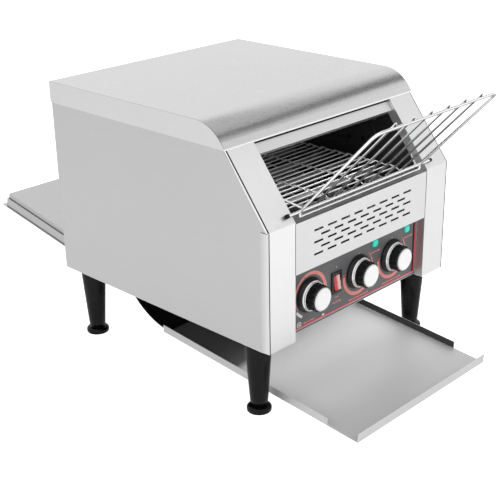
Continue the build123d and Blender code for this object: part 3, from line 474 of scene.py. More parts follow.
def soften(node):
    """Rounds a sheet's edges a little, on flat faces without the seams of their triangles."""
    weld = node.modifiers.new("weld", "WELD")
    weld.merge_threshold = 1e-6
    flat = node.modifiers.new("flat", "DECIMATE")
    flat.decimate_type = "DISSOLVE"
    flat.angle_limit = math.radians(1)
    bevel = node.modifiers.new("soft_edges", "BEVEL")
    bevel.width = SOFT_EDGE * MM
    bevel.segments = 2
    bevel.limit_method = "ANGLE"
    bevel.angle_limit = math.radians(40)
    even = node.modifiers.new("even_normals", "WEIGHTED_NORMAL")
    even.keep_sharp = True


for look, names in NODE_LOOKS.items():
    for name in names.split():
        for slot in nodes[name].material_slots:
            slot.material = LOOKS[look]
for name in SOFTENED.split():
    soften(nodes[name])

# ---- shapes ----
UPWARDS, SIDEWAYS, BACKWARDS = (0, 0, 1), (1, 0, 0), (0, 1, 0)
FACE, INK = span("control_fascia", Y)[0], 0.25      # y of the fascia's front, and the prints' thickness


def add_object(name, bm, material):
    """A new object in the scene with the geometry in bm."""
    mesh = bpy.data.meshes.new(name)
    bm.to_mesh(mesh)
    bm.free()
    mesh.materials.append(material)
    made = bpy.data.objects.new(name, mesh)
    scene.collection.objects.link(made)
    return made


def rounded(points, radii, steps):
    """A path along straight runs, with an arc of the given radius at each inner corner."""
    if not isinstance(radii, (list, tuple)):
        radii = [radii] * (len(points) - 2)
    path = [points[0]]
    for before, corner, after, radius in zip(points, points[1:], points[2:], radii):
        towards, away = before - corner, after - corner
        angle = towards.angle(away)
        cut = min(radius * MM / math.tan(angle / 2), towards.length * 0.48, away.length * 0.48)
        first, last = corner + towards.normalized() * cut, corner + away.normalized() * cut
        for i in range(steps + 1):
            t = i / steps
            path.append(first * (1 - t) ** 2 + corner * 2 * t * (1 - t) + last * t * t)
    return path + [points[-1]]


class Shape:
    """Gathers geometry in metres and turns it into one piece."""

    def __init__(self):
        self.bm = bmesh.new()

    def skin(self, rings, caps=True):
        """Joins closed rings of points in order, with a face over each end, or the last ring to the first."""
        rings = [[self.bm.verts.new(p) for p in ring] for ring in rings]
        following = rings[1:] if caps else rings[1:] + rings[:1]
        for low, high in zip(rings, following):
            for i in range(len(low)):
                self.bm.faces.new((low[i - 1], low[i], high[i], high[i - 1]))
        if caps:
            self.bm.faces.new(rings[0])
            self.bm.faces.new(rings[-1])
        return self

    def turned(self, centre, axis, profile, sides, wave=None, caps=True):
        """A round piece about an axis, from (radius, distance) pairs, its radius less wave at each angle."""
        axis = Vector(axis)
        side = Vector((1, 0, 0)) if abs(axis.x) < 0.9 else Vector((0, 1, 0))
        other = axis.cross(side)
        rings = []
        for radius, along in profile:
            ring = []
            for i in range(sides):
                angle = 2 * math.pi * i / sides
                reach = radius - (wave(angle) if wave else 0)
                ring.append(centre + (side * math.cos(angle) + other * math.sin(angle)) * reach * MM
                            + axis * along * MM)
            rings.append(ring)
        return self.skin(rings, caps)

    def wire(self, points, radius, sides, bend=0.0, steps=6):
        """A round wire through points in metres, its inner corners rounded to the radius or radii in bend."""
        path = rounded(points, bend, steps) if len(points) > 2 else points
        path = [p for i, p in enumerate(path) if i == 0 or (p - path[i - 1]).length > 1e-6]
        side = (path[1] - path[0]).orthogonal().normalized()
        rings = []
        for i, point in enumerate(path):
            before = (point - path[i - 1]).normalized() if i else (path[1] - path[0]).normalized()
            after = (path[i + 1] - point).normalized() if i + 1 < len(path) else before
            along = (before + after).normalized()
            side = (side - along * side.dot(along)).normalized()
            other = along.cross(side)
            rings.append([point + (side * math.cos(a) + other * math.sin(a)) * radius * MM
                          for a in (2 * math.pi * k / sides for k in range(sides))])
        return self.skin(rings)

    def slab(self, outline, rise):
        """A flat outline of points carried along a vector."""
        return self.skin([outline, [p + rise for p in outline]])

    def across(self, outline, x0, x1):
        """A (y, z) outline carried sideways from x0 to x1."""
        return self.slab([mm(x0, y, z) for y, z in outline], Vector(((x1 - x0) * MM, 0, 0)))

    def block(self, low, high):
        """A box between two corners, (x, y, z)."""
        (x0, y0, z0), (x1, y1, z1) = low, high
        return self.across([(y0, z0), (y1, z0), (y1, z1), (y0, z1)], x0, x1)

    def inked(self, outline):
        """A printed outline on the fascia, from (x, z) points."""
        return self.slab([mm(x, FACE - INK, z) for x, z in outline], Vector((0, INK * MM, 0)))

    def piece(self, name, look, body, stands_for=None, sharp=35, bevel=0.0):
        """Makes the piece, which rides on a body, in place of a node if one is named."""
        bmesh.ops.recalc_face_normals(self.bm, faces=self.bm.faces)
        made = add_object(name, self.bm, LOOKS[look])
        made.data.shade_smooth()
        made.data.set_sharp_from_angle(angle=math.radians(sharp))
        if bevel:
            soft = made.modifiers.new("soft_edges", "BEVEL")
            soft.width = bevel * MM
            soft.segments = 3
            soft.limit_method = "ANGLE"
            soft.harden_normals = True
        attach(made, body)
        if stands_for:
            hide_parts(stands_for)


# ---- legs and feet ----
# Side views of the round pieces here and below are (radius, distance along the axis) pairs.
LEG = [(9.5, 12.0), (11.2, 12.2), (11.8, 13.0), (12.3, 20), (17.9, 100.2), (17.6, 100.9), (6, 101)]
FOOT = [(14.8, 0), (16.0, 0.4), (16.5, 1.4), (16.5, 5.2), (16.1, 6.0), (14.2, 7.7), (13.4, 8)]
STEM = [(7.0, 8.0), (7.0, 9.5), (5.0, 9.8), (5.0, 55)]
for corner in ("front_left", "front_right", "rear_left", "rear_right"):
    x, y, _ = middle(corner + "_leg")
    leg = Shape().turned(mm(x, y, 0), UPWARDS, LEG, 64)
    leg.piece(corner + "_leg_shell", "leg", "casing", corner + "_leg")
    foot = Shape().turned(mm(x, y, 0), UPWARDS, FOOT + STEM, 64)
    foot.piece(corner + "_foot_pad", "rubber", corner + "_foot", corner + "_foot")

# ---- knobs ----
KNOBS = ("upper_heat_knob", "lower_heat_knob", "speed_knob")
KNOB_X, KNOB_Z = [middle(name)[X] for name in KNOBS], middle(KNOBS[0])[Z]
FLUTES = 14
GRIP = [(16.2, -10.5), (16.9, -10.4), (17.6, -9.8), (18.0, -8.6), (18.0, 5.0)]
SKIRT = [(17.6, 5.0), (20.9, 5.0), (21.2, 5.4), (23.7, 9.4), (24.0, 10.0), (24.0, 11.5)]
RING = [(18.1, 5.0), (18.1, 2.3), (18.4, 1.9), (19.0, 1.8), (19.4, 2.2), (19.7, 3.6), (20.6, 4.4),
        (20.9, 5.0)]
RIM = [(16.0, -10.3), (16.0, -11.0), (15.6, -11.5), (14.2, -11.6)]
CAP = [(14.4, -11.3), (14.4, -11.8), (13.9, -12.1), (12.8, -12.0), (6, -11.9)]
SPINDLE = [(3, 11.4), (3, 13.9)]


def flutes(angle):
    """How deep the grip's flutes are at an angle."""
    return 1.7 * (0.5 + 0.5 * math.cos(FLUTES * angle)) ** 1.4


def rim_flutes(angle):
    """How deep the rim's finer flutes are at an angle."""
    return 0.45 * (0.5 + 0.5 * math.cos(2 * FLUTES * angle))


for name, x in zip(KNOBS, KNOB_X):
    centre = mm(x, 0, KNOB_Z)
    grip = Shape().turned(centre, BACKWARDS, GRIP, 168, flutes).turned(centre, BACKWARDS, SKIRT, 96)
    grip.piece(name + "_grip", "knob", name, name, 50)
    Shape().turned(centre, BACKWARDS, RING, 96, caps=False).piece(name + "_ring", "ring", name)
    Shape().turned(centre, BACKWARDS, RIM, 168, rim_flutes).piece(name + "_rim", "rim", name)
    cap = Shape().turned(centre, BACKWARDS, CAP, 72).turned(centre, BACKWARDS, SPINDLE, 24)
    cap.piece(name + "_cap", "trim", name, name + "_trim")

# ---- rocker and lamps ----
ROCKER_HALF, ROCKER_REACH = 6.2, 9.7            # half width and half height
ROCKER_FACE, ROCKER_LEAN, ROCKER_BACK = 9.0, 1.88, 17.0     # y of its middle, its top beyond that, its back
UPPER_HOLLOW, LOWER_HOLLOW, FACE_STEPS = 0.55, 0.75, 16
outline = []
for i in range(FACE_STEPS + 1):
    up = 1 - 2 * i / FACE_STEPS
    hollow = (1 - (abs(up) - 0.5) ** 2 * 4) * (UPPER_HOLLOW if up > 0 else LOWER_HOLLOW)
    outline.append((ROCKER_FACE + ROCKER_LEAN * up + hollow, ROCKER_Z + up * ROCKER_REACH))
outline += [(ROCKER_BACK - 1.8, ROCKER_Z - ROCKER_REACH), (ROCKER_BACK, ROCKER_Z - 4),
            (ROCKER_BACK, ROCKER_Z + 4), (ROCKER_BACK - 0.6, ROCKER_Z + ROCKER_REACH)]
rocker = Shape().across(outline, ROCKER_X - ROCKER_HALF, ROCKER_X + ROCKER_HALF)
rocker.piece("rocker_cap", "red", "power_rocker", "power_rocker", 30, 0.6)

LAMPS, LAMP_Z = (38.0, 108.8), 179.5
LENS_HALF = (5.5, 4.8)      # half width and half height
LENS = ((0, 12), (0, 10.6), (0.3, 10.0), (1.0, 9.6), (2.4, 9.4))    # (distance in from the outline, y)
LENS_SIDES, SQUARENESS = 40, 0.55


def squared(value):
    """A sine or cosine drawn out, so that a circle of them turns into a square with round corners."""
    return math.copysign(abs(value) ** SQUARENESS, value)


lenses = Shape()
for x in LAMPS:
    rings = []
    for inwards, y in LENS:
        ring = []
        for i in range(LENS_SIDES):
            angle = 2 * math.pi * i / LENS_SIDES
            ring.append(mm(x + (LENS_HALF[0] - inwards) * squared(math.cos(angle)), y,
                           LAMP_Z + (LENS_HALF[1] - inwards) * squared(math.sin(angle))))
        rings.append(ring)
    lenses.skin(rings)
lenses.piece("lamp_lenses", "lamp", "casing", "indicator_lamps", 60)

# ---- belt ----
PITCH, FLAT, TEETH = 12.0, 22, 12               # FLAT is how many pitches lie between the shafts
BELT_FRONT, BELT_TOP = 42.0, 261.0
BELT_BACK = BELT_FRONT + FLAT * PITCH
BELT_HALF, BELT_INNER = 118.0, 39.0             # x of the cross wires' ends and of their inner joints
INSETS = (0.9, 3.2)                             # of the hooks from there, by turns, so that they pass
CROSS_RADIUS, HOOK_RADIUS, HOOK_BEND = 0.95, 0.8, 1.2
HOOK = [(0.2, 0.3), (8.0, 1.9), (11.4, 2.15), (13.9, 1.9), (14.3, 0.0), (13.4, -1.5)]     # (ahead, up)
STEP = 2 * math.pi / TEETH
PITCH_RADIUS = PITCH / 2 / math.sin(STEP / 2)
SHAFT_Z = BELT_TOP - PITCH_RADIUS


def belt_stations():
    """The places of the belt's cross wires, (y, z), run by run in order of travel."""
    def around(y, reach):
        return [(y + reach * math.sin(i * STEP), SHAFT_Z + reach * math.cos(i * STEP))
                for i in range(TEETH // 2)]
    return {
        "belt_top_run": [(BELT_FRONT + i * PITCH, BELT_TOP) for i in range(FLAT)],
        "belt_rear_turn": around(BELT_BACK, PITCH_RADIUS),
        "belt_bottom_run": [(BELT_BACK - i * PITCH, SHAFT_Z - PITCH_RADIUS) for i in range(FLAT)],
        "belt_front_turn": around(BELT_FRONT, -PITCH_RADIUS),
    }


runs = belt_stations()
stations = [place for run in runs.values() for place in run]
index = 0
for name, places in runs.items():
    wires = Shape()
    for y, z in places:
        next_y, next_z = stations[(index + 1) % len(stations)]
        heading = math.atan2(next_z - z, next_y - y)
        forward, rise = math.cos(heading), math.sin(heading)
        wires.wire([mm(-BELT_HALF, y, z), mm(BELT_HALF, y, z)], CROSS_RADIUS, 10)
        for hook_x in (BELT_HALF - INSETS[index % 2], BELT_INNER - INSETS[index % 2]):
            for side in (-1, 1):
                hook = [mm(side * hook_x, y + ahead * forward - up * rise, z + ahead * rise + up * forward)
                        for ahead, up in HOOK]
                wires.wire(hook, HOOK_RADIUS, 8, HOOK_BEND, 2)
        index += 1
    wires.piece(name + "_wires", "belt", "casing", name)

# ---- heaters ----
HEATER_ROWS = (99, 149, 199, 249)               # y
TUBE = [(4.3, -134.6), (4.5, -134.2), (4.5, 134.2), (4.3, 134.6)]
for name in ("upper_heater_tubes", "lower_heater_tubes"):
    tubes = Shape()
    for y in HEATER_ROWS:
        tubes.turned(mm(0, y, middle(name)[Z]), SIDEWAYS, TUBE, 32)
    tubes.piece(name + "_quartz", "quartz", "casing", name)

# ---- feed rack ----
RACK_HALF, RACK_LENGTH, LEAN = 122.0, 163.0, math.radians(46.5)
ROD, PIVOT = on_slope(10.2, 3.1), on_slope(33.5, -6.9)      # (y, z) of the cross rod and the pivot pins
ROD_RADIUS, FRAME_RADIUS, WIRE, WELD = 2.2, 2.0, 1.5, 0.4   # WIRE is a radius, WELD the depth of a weld
ROD_HALF, CAP_LENGTH = 148.0, 5.0
END_CAP = [(2.5, -CAP_LENGTH), (2.8, 0.4 - CAP_LENGTH), (2.8, -0.8), (2.4, -0.2), (1.6, 0)]
RAIL_DROP = 7.0             # from the rod down to the rail
BARS, BAR_PAST, BAR_BELOW = 6, 4.0, 3.0         # upright wires, which end past the frame and below the rail
ARM_SPREAD = 16.0           # how far out an arm leans on its way from the rod to its pin
PIN_IN, PIN_OUT = 6.0, 4.0  # a pin's reach to both sides of the column's inner face


def rack_at(x, along, out=0.0):
    """A point of the rack, up along it from the cross rod and forwards out of its plane."""
    return mm(x, ROD[0] - along * math.cos(LEAN) - out * math.sin(LEAN),
              ROD[1] + along * math.sin(LEAN) - out * math.cos(LEAN))


bar_offset = ROD_RADIUS + WIRE - WELD
bar_y = ROD[0] + bar_offset
bend_z = ROD[1] + bar_offset * (1 - math.sin(LEAN)) / math.cos(LEAN)
rail = (bar_y - 2 * WIRE + WELD, ROD[1] - RAIL_DROP)
rod_end = ROD_HALF - CAP_LENGTH
rack = Shape().wire([mm(-RACK_HALF, *rail), mm(-RACK_HALF, *ROD), rack_at(-RACK_HALF, RACK_LENGTH),
                     rack_at(RACK_HALF, RACK_LENGTH), mm(RACK_HALF, *ROD), mm(RACK_HALF, *rail)],
                    FRAME_RADIUS, 14, (3, 12, 12, 3), 8)
rack.wire([mm(-rod_end, *ROD), mm(rod_end, *ROD)], ROD_RADIUS, 16)
rack.wire([mm(-RACK_HALF, *rail), mm(RACK_HALF, *rail)], WIRE, 12)
bars = Shape()
for i in range(1, BARS + 1):
    x = -RACK_HALF + i * 2 * RACK_HALF / (BARS + 1)
    bars.wire([rack_at(x, RACK_LENGTH + BAR_PAST, -bar_offset), mm(x, bar_y, bend_z),
               mm(x, bar_y, rail[1] - BAR_BELOW)], WIRE, 12, 3)
bars.piece("feed_rack_bars", "wire", "feed_rack")
end_caps = Shape()
for side in (-1, 1):
    pin_x = COLUMN_INNER - PIN_IN
    rack.wire([mm(side * (pin_x - ARM_SPREAD), *ROD), mm(side * pin_x, *PIVOT),
               mm(side * (COLUMN_INNER + PIN_OUT), *PIVOT)], WIRE, 12, 4)
    end_caps.turned(mm(side * ROD_HALF, *ROD), (side, 0, 0), END_CAP, 24)
rack.piece("feed_rack_frame", "chrome", "feed_rack", "feed_rack")
end_caps.piece("feed_rack_end_caps", "rubber", "feed_rack", "feed_rack_caps")

# ---- printed fascia ----
FASCIA_HALF = span("control_fascia", X)[1]
FASCIA_LOW, FASCIA_TOP = span("control_fascia", Z)
LEFT_X, MIDDLE_X, RIGHT_X = KNOB_X
# Bands round the knobs, as (angle, inner radius, outer radius) stops, in degrees from +X to +Z.
LEFT_SCALE = [(215, 26.4, 27.4), (158, 26.6, 28.6), (110, 26.8, 30.4), (66, 27.2, 31.6), (10, 28.2, 33.8),
              (-1, 28.8, 34.2)]
OTHER_SCALE = [(180, 26.6, 31.2), (220, 27.4, 32.2), (260, 28.2, 33.4), (300, 29.2, 33.6), (360, 30.2, 32.4),
               (402, 29.6, 30.6)]
WHITE_BAND = [(-144, 28.2, 31.9), (-117, 28.4, 32.1)]
LEFT_DOTS = ((110, 28.6), (64, 29.4), (19, 31.2))       # (angle, radius) from the left knob's middle
WHITE_DOTS = ((-41.6, 170.7), (MIDDLE_X + 1.5, 175.4), (RIGHT_X, 176.0))
EARTH_X, EARTH_Z, EARTH_SIDES = -114.5, 113.4, 24       # a round mark with an upright and three bars in it
EARTH_BARS = ((2.0, 0.0), (1.3, 0.8), (0.6, 1.6))       # (half width, drop)
DASH_GAP = 0.9


def bar(x0, x1, z0, z1):
    return [(x0, z0), (x1, z0), (x1, z1), (x0, z1)]


def disc(x, z, radius, sides):
    return [(x + radius * math.cos(2 * math.pi * i / sides), z + radius * math.sin(2 * math.pi * i / sides))
            for i in range(sides)]


def crescent(x, stops):
    """A band through its stops round the knob at x."""
    inner, outer = [], []
    for (a0, near0, far0), (a1, near1, far1) in zip(stops, stops[1:]):
        steps = max(2, int(abs(a1 - a0) / 5))
        for i in range(steps + (a1 == stops[-1][0])):
            t = i / steps
            angle = math.radians(a0 + (a1 - a0) * t)
            near, far = near0 + (near1 - near0) * t, far0 + (far1 - far0) * t
            inner.append((x + near * math.cos(angle), KNOB_Z + near * math.sin(angle)))
            outer.append((x + far * math.cos(angle), KNOB_Z + far * math.sin(angle)))
    return inner + outer[::-1]


def dashes(shape, x0, x1, z, lengths, high=1.3):
    """A row of short strokes between two ends, in place of words."""
    scale = (x1 - x0) / (sum(lengths) + DASH_GAP * (len(lengths) - 1))
    for length in lengths:
        shape.inked(bar(x0, x0 + length * scale, z - high / 2, z + high / 2))
        x0 += (length + DASH_GAP) * scale


scales, reds, whites = Shape(), Shape(), Shape()
scales.inked(crescent(LEFT_X, LEFT_SCALE))
dashes(scales, LEFT_X - 11.5, LEFT_X + 9.5, 112.4, (3, 2, 4))
dashes(scales, ROCKER_X - 6.8, ROCKER_X + 10.1, 120.2, (3, 2, 4))
dashes(scales, ROCKER_X - 1.4, ROCKER_X + 4.6, 127.3, (2, 2))
for x in (MIDDLE_X, RIGHT_X):
    scales.inked(crescent(x, OTHER_SCALE))
    dashes(scales, x + 23.5, x + 47, 167.0, (2, 4, 3, 5))
    dashes(scales, x - 19, x + 23, 112.6, (7, 3, 6, 4, 8))
    reds.inked(bar(x - 31.8, x - 24.2, 151.9, 153.4))
for angle, radius in LEFT_DOTS:
    turn = math.radians(angle)
    reds.inked(disc(LEFT_X + radius * math.cos(turn), KNOB_Z + radius * math.sin(turn), 0.9, 10))
reds.inked(bar(-FASCIA_HALF + 0.2, FASCIA_HALF - 0.2, FASCIA_LOW + 0.1, FASCIA_LOW + 1.9))
reds.inked(bar(FASCIA_HALF - 4.4, FASCIA_HALF - 1.2, FASCIA_LOW + 1.3, FASCIA_TOP - 0.2))
whites.inked(crescent(LEFT_X, WHITE_BAND))
whites.inked(bar(LEFT_X + 25, LEFT_X + 29.5, 110.4, 112.6))
for x, z in WHITE_DOTS:
    whites.inked(disc(x, z, 0.7, 8))
near, far = (disc(EARTH_X, EARTH_Z, radius, EARTH_SIDES) for radius in (3.2, 4.0))
for i in range(EARTH_SIDES):
    whites.inked([near[i - 1], far[i - 1], far[i], near[i]])
whites.inked(bar(EARTH_X - 0.35, EARTH_X + 0.35, EARTH_Z, EARTH_Z + 2.3))
for wide, drop in EARTH_BARS:
    whites.inked(bar(EARTH_X - wide, EARTH_X + wide, EARTH_Z - drop - 0.26, EARTH_Z - drop + 0.26))
scales.piece("dial_scales", "pink", "casing")
reds.piece("fascia_border", "print_red", "casing")
whites.piece("fascia_marks", "white", "casing")
dark_edge = Shape().inked(bar(FASCIA_HALF - 7.2, FASCIA_HALF - 4.6, FASCIA_LOW + 1.5, FASCIA_TOP - 0.2))
dark_edge.piece("fascia_dark_edge", "dark", "casing")

# ---- seam lines of painted shadow in the gaps between sheets, and the side panels' rolled hems ----
PROUD, SUNK = 0.05, 0.5     # how far a dark line of painted shadow stands out of the sheets, and how deep it reaches
CASING_LOW = 101.3          # lower end of the front's seams
SIDE_SEAM, PANEL_SEAM = COLUMN_OUTER + 0.1, COLUMN_INNER - 0.15     # x of their middles
SIDE_SEAM_HALF, PANEL_SEAM_HALF = 0.35, 0.45    # half their widths
HEM_X, HEM_RADIUS = 183.0, 0.95                 # of the rolled edge along the side panels' slope
LINTEL_HALF, LINTEL_DEPTH = 134.0, 5.0          # its half width, and how far its face lies behind the columns


def at_lid(along, depth):
    """A (y, z) point of the front's slope, up along it from the lid's lower edge and behind the columns."""
    return on_slope(SLOPE_LENGTH + along, -depth)


def front_path(depth):
    """The front's side view, at a depth behind the column faces, up to the lid."""
    drop = depth * math.tan((math.pi / 2 - SLOPE) / 2)
    return [(depth, CASING_LOW), (depth, SLOPE_FOOT[1] - drop), at_lid(0, depth)]


seam_shadows, rolls = Shape(), Shape()
for side in (-1, 1):
    side_seam, panel_seam = side * SIDE_SEAM, side * PANEL_SEAM
    # Painted shadow lines in the gaps beside the columns and the vent panel.
    seam_shadows.across(front_path(-PROUD) + front_path(SUNK)[::-1],
                 side_seam - SIDE_SEAM_HALF, side_seam + SIDE_SEAM_HALF)
    seam_shadows.block((side * (COLUMN_OUTER - 0.5), -PROUD - 0.01, CASING_LOW),
                (side * (COLUMN_OUTER + 1.0), SUNK, SLOPE_FOOT[1]))
    seam_shadows.block((panel_seam - PANEL_SEAM_HALF, -PROUD, PANEL_LOW),
                (panel_seam + PANEL_SEAM_HALF, SUNK, PANEL_TOP))
    rolls.wire([mm(side * HEM_X, *on_slope(1, -1)), mm(side * HEM_X, *at_lid(3, 1))], HEM_RADIUS, 12)
# Painted shadow on the lintel under the lid's front edge.
seam_shadows.across([at_lid(-1.5, LINTEL_DEPTH - 0.1), at_lid(0.5, LINTEL_DEPTH - 0.1),
              at_lid(0.5, LINTEL_DEPTH + 0.1), at_lid(-1.5, LINTEL_DEPTH + 0.1)], -LINTEL_HALF, LINTEL_HALF)
rolls.piece("side_panel_hems", "side", "casing")
seam_shadows.piece("seam_shadow_lines", "dark", "casing")

# ---- dark strips of painted shade behind the lower rows of vent slots ----
VENT_TOP_ROW, VENT_PITCH = 241.8, 8.1
SLOT_SHADE_FRONT, SLOT_SHADE_BACK = 1.1, 1.4
SLOT_SHADE_HALF, SLOT_SHADE_REACH = 110.0, 2.6            # half the width and half the height of its strips
slot_shade = Shape()
for row in (2, 3, 4):
    z = VENT_TOP_ROW - row * VENT_PITCH
    slot_shade.block((-SLOT_SHADE_HALF, SLOT_SHADE_FRONT, z - SLOT_SHADE_REACH), (SLOT_SHADE_HALF, SLOT_SHADE_BACK, z + SLOT_SHADE_REACH))
slot_shade.piece("vent_slot_shade", "dark", "casing")

# ---- lines of painted shade along the rear shelf's steps ----
SHELF_RISE, SHELF_ROOT = math.radians(10.1), (412.3, 140.6)     # the root is (y, z)
SHELF_START, STEP_LINE = 3.0, 0.15
SHELF_STEPS = ((163.3, 168.6, 8.2, 6.9), (165.5, 170.8, 23.0, 20.9))    # (half width, end, low, high)


def shelf_at(along, drop):
    """A (y, z) point of the rear shelf, along it from the rear panel and down from its top."""
    return (SHELF_ROOT[0] + along * math.cos(SHELF_RISE) + drop * math.sin(SHELF_RISE),
            SHELF_ROOT[1] + along * math.sin(SHELF_RISE) - drop * math.cos(SHELF_RISE))


def shelf_strip(start, end, low, high):
    """A (y, z) outline between two places along the rear shelf and two drops."""
    return [shelf_at(start, low), shelf_at(end, low), shelf_at(end, high), shelf_at(start, high)]


shelf_step_shade = Shape()
for reach, end, low, high in SHELF_STEPS:
    for side in (-1, 1):
        shelf_step_shade.across(shelf_strip(SHELF_START, end, low, high), side * reach, side * (reach + STEP_LINE))
    shelf_step_shade.across(shelf_strip(end, end + STEP_LINE, low, high), -reach, reach)
shelf_step_shade.piece("shelf_step_shade_lines", "shade", "casing")

# ---- fixings of the chamber walls ----
WALL = span("right_chamber_wall", X)[0]
WALL_SCREWS = ((68.2, 324.8), (113.0, 311.2), (137.8, 282.6), (113.6, 284.1), (190.0, 300.0), (240.0, 284.0))
RIVET = [(2.9, 0), (2.9, 0.5), (2.3, 1.0), (1.0, 1.2)]
WALL_BRACKETS = ((142, 192, 271, 279), (150, 200, 300, 303))    # (front, back, bottom, top)
WALL_CLIP = ((96, 285), (90, 291), (92, 300), (98, 308))
fixings, brackets = Shape(), Shape()
for side in (-1, 1):
    for y, z in WALL_SCREWS:
        fixings.turned(mm(side * WALL, y, z), (-side, 0, 0), RIVET, 20)
    for front, back, bottom, top in WALL_BRACKETS:
        brackets.block((side * WALL, front, bottom), (side * (WALL - 2.5), back, top))
    brackets.wire([mm(side * (WALL - 1.2), y, z) for y, z in WALL_CLIP], 0.7, 8, 5)
fixings.piece("wall_screws", "dark", "casing")
brackets.piece("wall_brackets", "inside", "casing")

# ---- rear panel's screws ----
REAR = span("rear_panel", Y)[1]
SCREW_X, SCREW_HEIGHTS = 172, (112, 225, 338)
SCREW = [(3.7, 0), (3.6, 0.5), (2.8, 1.1), (1.2, 1.3)]
screws, crosses = Shape(), Shape()
for x in (-SCREW_X, SCREW_X):
    for z in SCREW_HEIGHTS:
        screws.turned(mm(x, REAR, z), BACKWARDS, SCREW, 24)
        # Dark crosses of painted shade stand for the screws' cross recesses.
        for wide, high in ((2.0, 0.35), (0.35, 2.0)):
            crosses.block((x - wide, REAR + 1.0, z - high), (x + wide, REAR + 1.4, z + high))
screws.piece("rear_screws", "trim", "casing")
crosses.piece("rear_screw_crosses", "dark", "casing")

# ---- stage, light and camera ----
AIM = (0, -0.03, 0.2)       # of the large lamps, in metres
CAMERA = mm(-1022.989, -798.586, 728.366)
BEND, BEND_RADIUS = (116.8, 325.0), 55.0        # centre of the lid's rolled edge, (y, z)
# The bands that the lid's rolled edge mirrors, as (x, first angle, last angle) rows.
DARK_BAND = [(-400, 38, 50), (-155, 38, 49), (-37, 36.5, 47.5), (46, 32.5, 43), (130, 32.5, 43),
             (400, 31, 41)]
GREY_BAND = [(-400, 10, 46), (-155, 13, 45), (-37, 24, 42), (130, 27, 38), (400, 27, 37)]
AZIMUTH, ELEVATION, ROLL = -45.394, 22.752, -1.05
SENSOR, FOCAL_PIXELS, PHOTO_PIXELS = 36.0, 1065.03, 500.0       # focal length in the photograph's pixels


def greater(tree, first, second):
    """The greater of two values in a node tree."""
    both = tree.nodes.new("ShaderNodeMath")
    both.operation = "MAXIMUM"
    tree.links.new(first, both.inputs[0])
    tree.links.new(second, both.inputs[1])
    return both.outputs[0]


def plain_floor():
    """A pale floor that keeps the object's shadow and is white to the camera."""
    bm = bmesh.new()
    bmesh.ops.create_grid(bm, x_segments=2, y_segments=2, size=6)
    material = bpy.data.materials.new("floor_pale")
    material.use_nodes = True
    tree = material.node_tree
    surface = tree.nodes["Principled BSDF"]
    surface.inputs["Base Color"].default_value = (0.86, 0.86, 0.86, 1)
    surface.inputs["Roughness"].default_value = 0.9
    path = tree.nodes.new("ShaderNodeLightPath")
    bright = tree.nodes.new("ShaderNodeEmission")
    bright.inputs["Color"].default_value = (1, 1, 1, 1)
    in_metal = tree.nodes.new("ShaderNodeMapRange")
    in_metal.inputs["To Max"].default_value = 0.4
    tree.links.new(path.outputs["Is Glossy Ray"], in_metal.inputs["Value"])
    strength = greater(tree, path.outputs["Is Camera Ray"], in_metal.outputs["Result"])
    tree.links.new(strength, bright.inputs["Strength"])
    both = tree.nodes.new("ShaderNodeAddShader")
    output = tree.nodes["Material Output"]
    tree.links.new(surface.outputs[0], both.inputs[0])
    tree.links.new(bright.outputs[0], both.inputs[1])
    tree.links.new(both.outputs[0], output.inputs["Surface"])
    floor = add_object("floor", bm, material)
    floor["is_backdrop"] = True


def white_world(ambient):
    """White to the camera, to metal and to glass, and a plain level of light to the rest."""
    world = bpy.data.worlds.new("studio")
    scene.world = world
    world.use_nodes = True
    tree = world.node_tree
    background = tree.nodes["Background"]
    path = tree.nodes.new("ShaderNodeLightPath")
    seen = greater(tree, path.outputs["Is Camera Ray"], path.outputs["Is Glossy Ray"])
    white = greater(tree, seen, path.outputs["Is Transmission Ray"])
    level = tree.nodes.new("ShaderNodeMapRange")
    level.inputs["To Min"].default_value = ambient
    tree.links.new(white, level.inputs["Value"])
    tree.links.new(level.outputs["Result"], background.inputs["Strength"])
    background.inputs["Color"].default_value = (1, 1, 1, 1)


def area_light(name, place, aim, size, power, spread=180):
    """A lamp turned from its place to its aim, which shows in no reflection."""
    lamp = bpy.data.lights.new(name, "AREA")
    lamp.spread = math.radians(spread)
    lamp.shape = "RECTANGLE"
    lamp.size, lamp.size_y = size
    lamp.energy = power
    holder = bpy.data.objects.new(name, lamp)
    scene.collection.objects.link(holder)
    holder.location = place
    holder.rotation_mode = "QUATERNION"
    holder.rotation_quaternion = (Vector(aim) - Vector(place)).to_track_quat("-Z", "Y")
    holder.visible_glossy = False


def mirrored(x, angle, reach):
    """A place that the lid's rolled edge, at x and at an angle from its top, mirrors to the camera."""
    turn = math.radians(angle)
    normal = Vector((0, -math.sin(turn), math.cos(turn)))
    place = mm(x, *BEND) + normal * BEND_RADIUS * MM
    return place + (place - CAMERA).normalized().reflect(normal) * reach


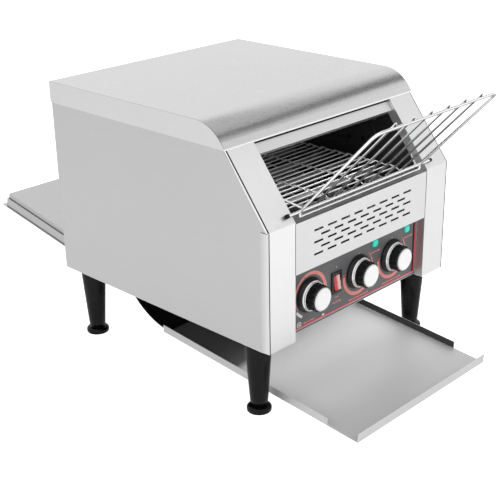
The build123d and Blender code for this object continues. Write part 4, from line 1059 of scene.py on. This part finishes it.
def mirror_card(name, look, rows, reach):
    """A card that only reflections see, where the rows of a band on the lid's rolled edge mirror it."""
    bm = bmesh.new()
    pairs = [[bm.verts.new(mirrored(x, angle, reach)) for angle in angles] for x, *angles in rows]
    for (a, b), (c, d) in zip(pairs, pairs[1:]):
        bm.faces.new((a, b, d, c))
    card = add_object(name, bm, LOOKS[look])
    card.visible_camera = card.visible_diffuse = card.visible_shadow = False
    card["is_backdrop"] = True


def photo_camera():
    """A camera at the photograph's viewing angle."""
    camera = bpy.data.objects.new("camera", bpy.data.cameras.new("camera"))
    scene.collection.objects.link(camera)
    camera.data.sensor_width = SENSOR
    camera.data.lens = FOCAL_PIXELS / PHOTO_PIXELS * SENSOR
    azimuth, elevation, roll = (math.radians(a) for a in (AZIMUTH, ELEVATION, ROLL))
    back = Vector((math.sin(azimuth) * math.cos(elevation), -math.cos(azimuth) * math.cos(elevation),
                   math.sin(elevation)))
    right = Vector((0, 0, 1)).cross(back).normalized()
    above = back.cross(right)
    x_axis = right * math.cos(roll) + above * math.sin(roll)
    y_axis = above * math.cos(roll) - right * math.sin(roll)
    turn = Matrix((x_axis, y_axis, back)).transposed()
    camera.matrix_world = Matrix.Translation(CAMERA) @ turn.to_4x4()
    camera.data.clip_start, camera.data.clip_end = 0.05, 20
    scene.camera = camera


plain_floor()
white_world(0.6)
mirror_card("dark_card", "dark", DARK_BAND, 1.5)
mirror_card("grey_card", "card", GREY_BAND, 1.6)
area_light("key", (0.9, -1.9, 1.3), AIM, (1.2, 1.2), 10)
area_light("fill", (-1.9, -0.3, 1.2), AIM, (1.6, 1.6), 6)
area_light("top", (0.1, 0.3, 2.0), AIM, (1.6, 1.6), 5)
area_light("under_rear", mm(0, 88, 99), mm(0, 88, 0), (0.27, 0.06), 0.048, 75)
area_light("under_front", mm(0, 30, 98), mm(0, 5, 0), (0.27, 0.10), 0.044, 60)
area_light("chamber", mm(0, 62, 322), mm(0, 68, 262), (0.24, 0.03), 0.05, 90)
photo_camera()
scene.view_settings.view_transform = "Standard"

low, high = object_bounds()
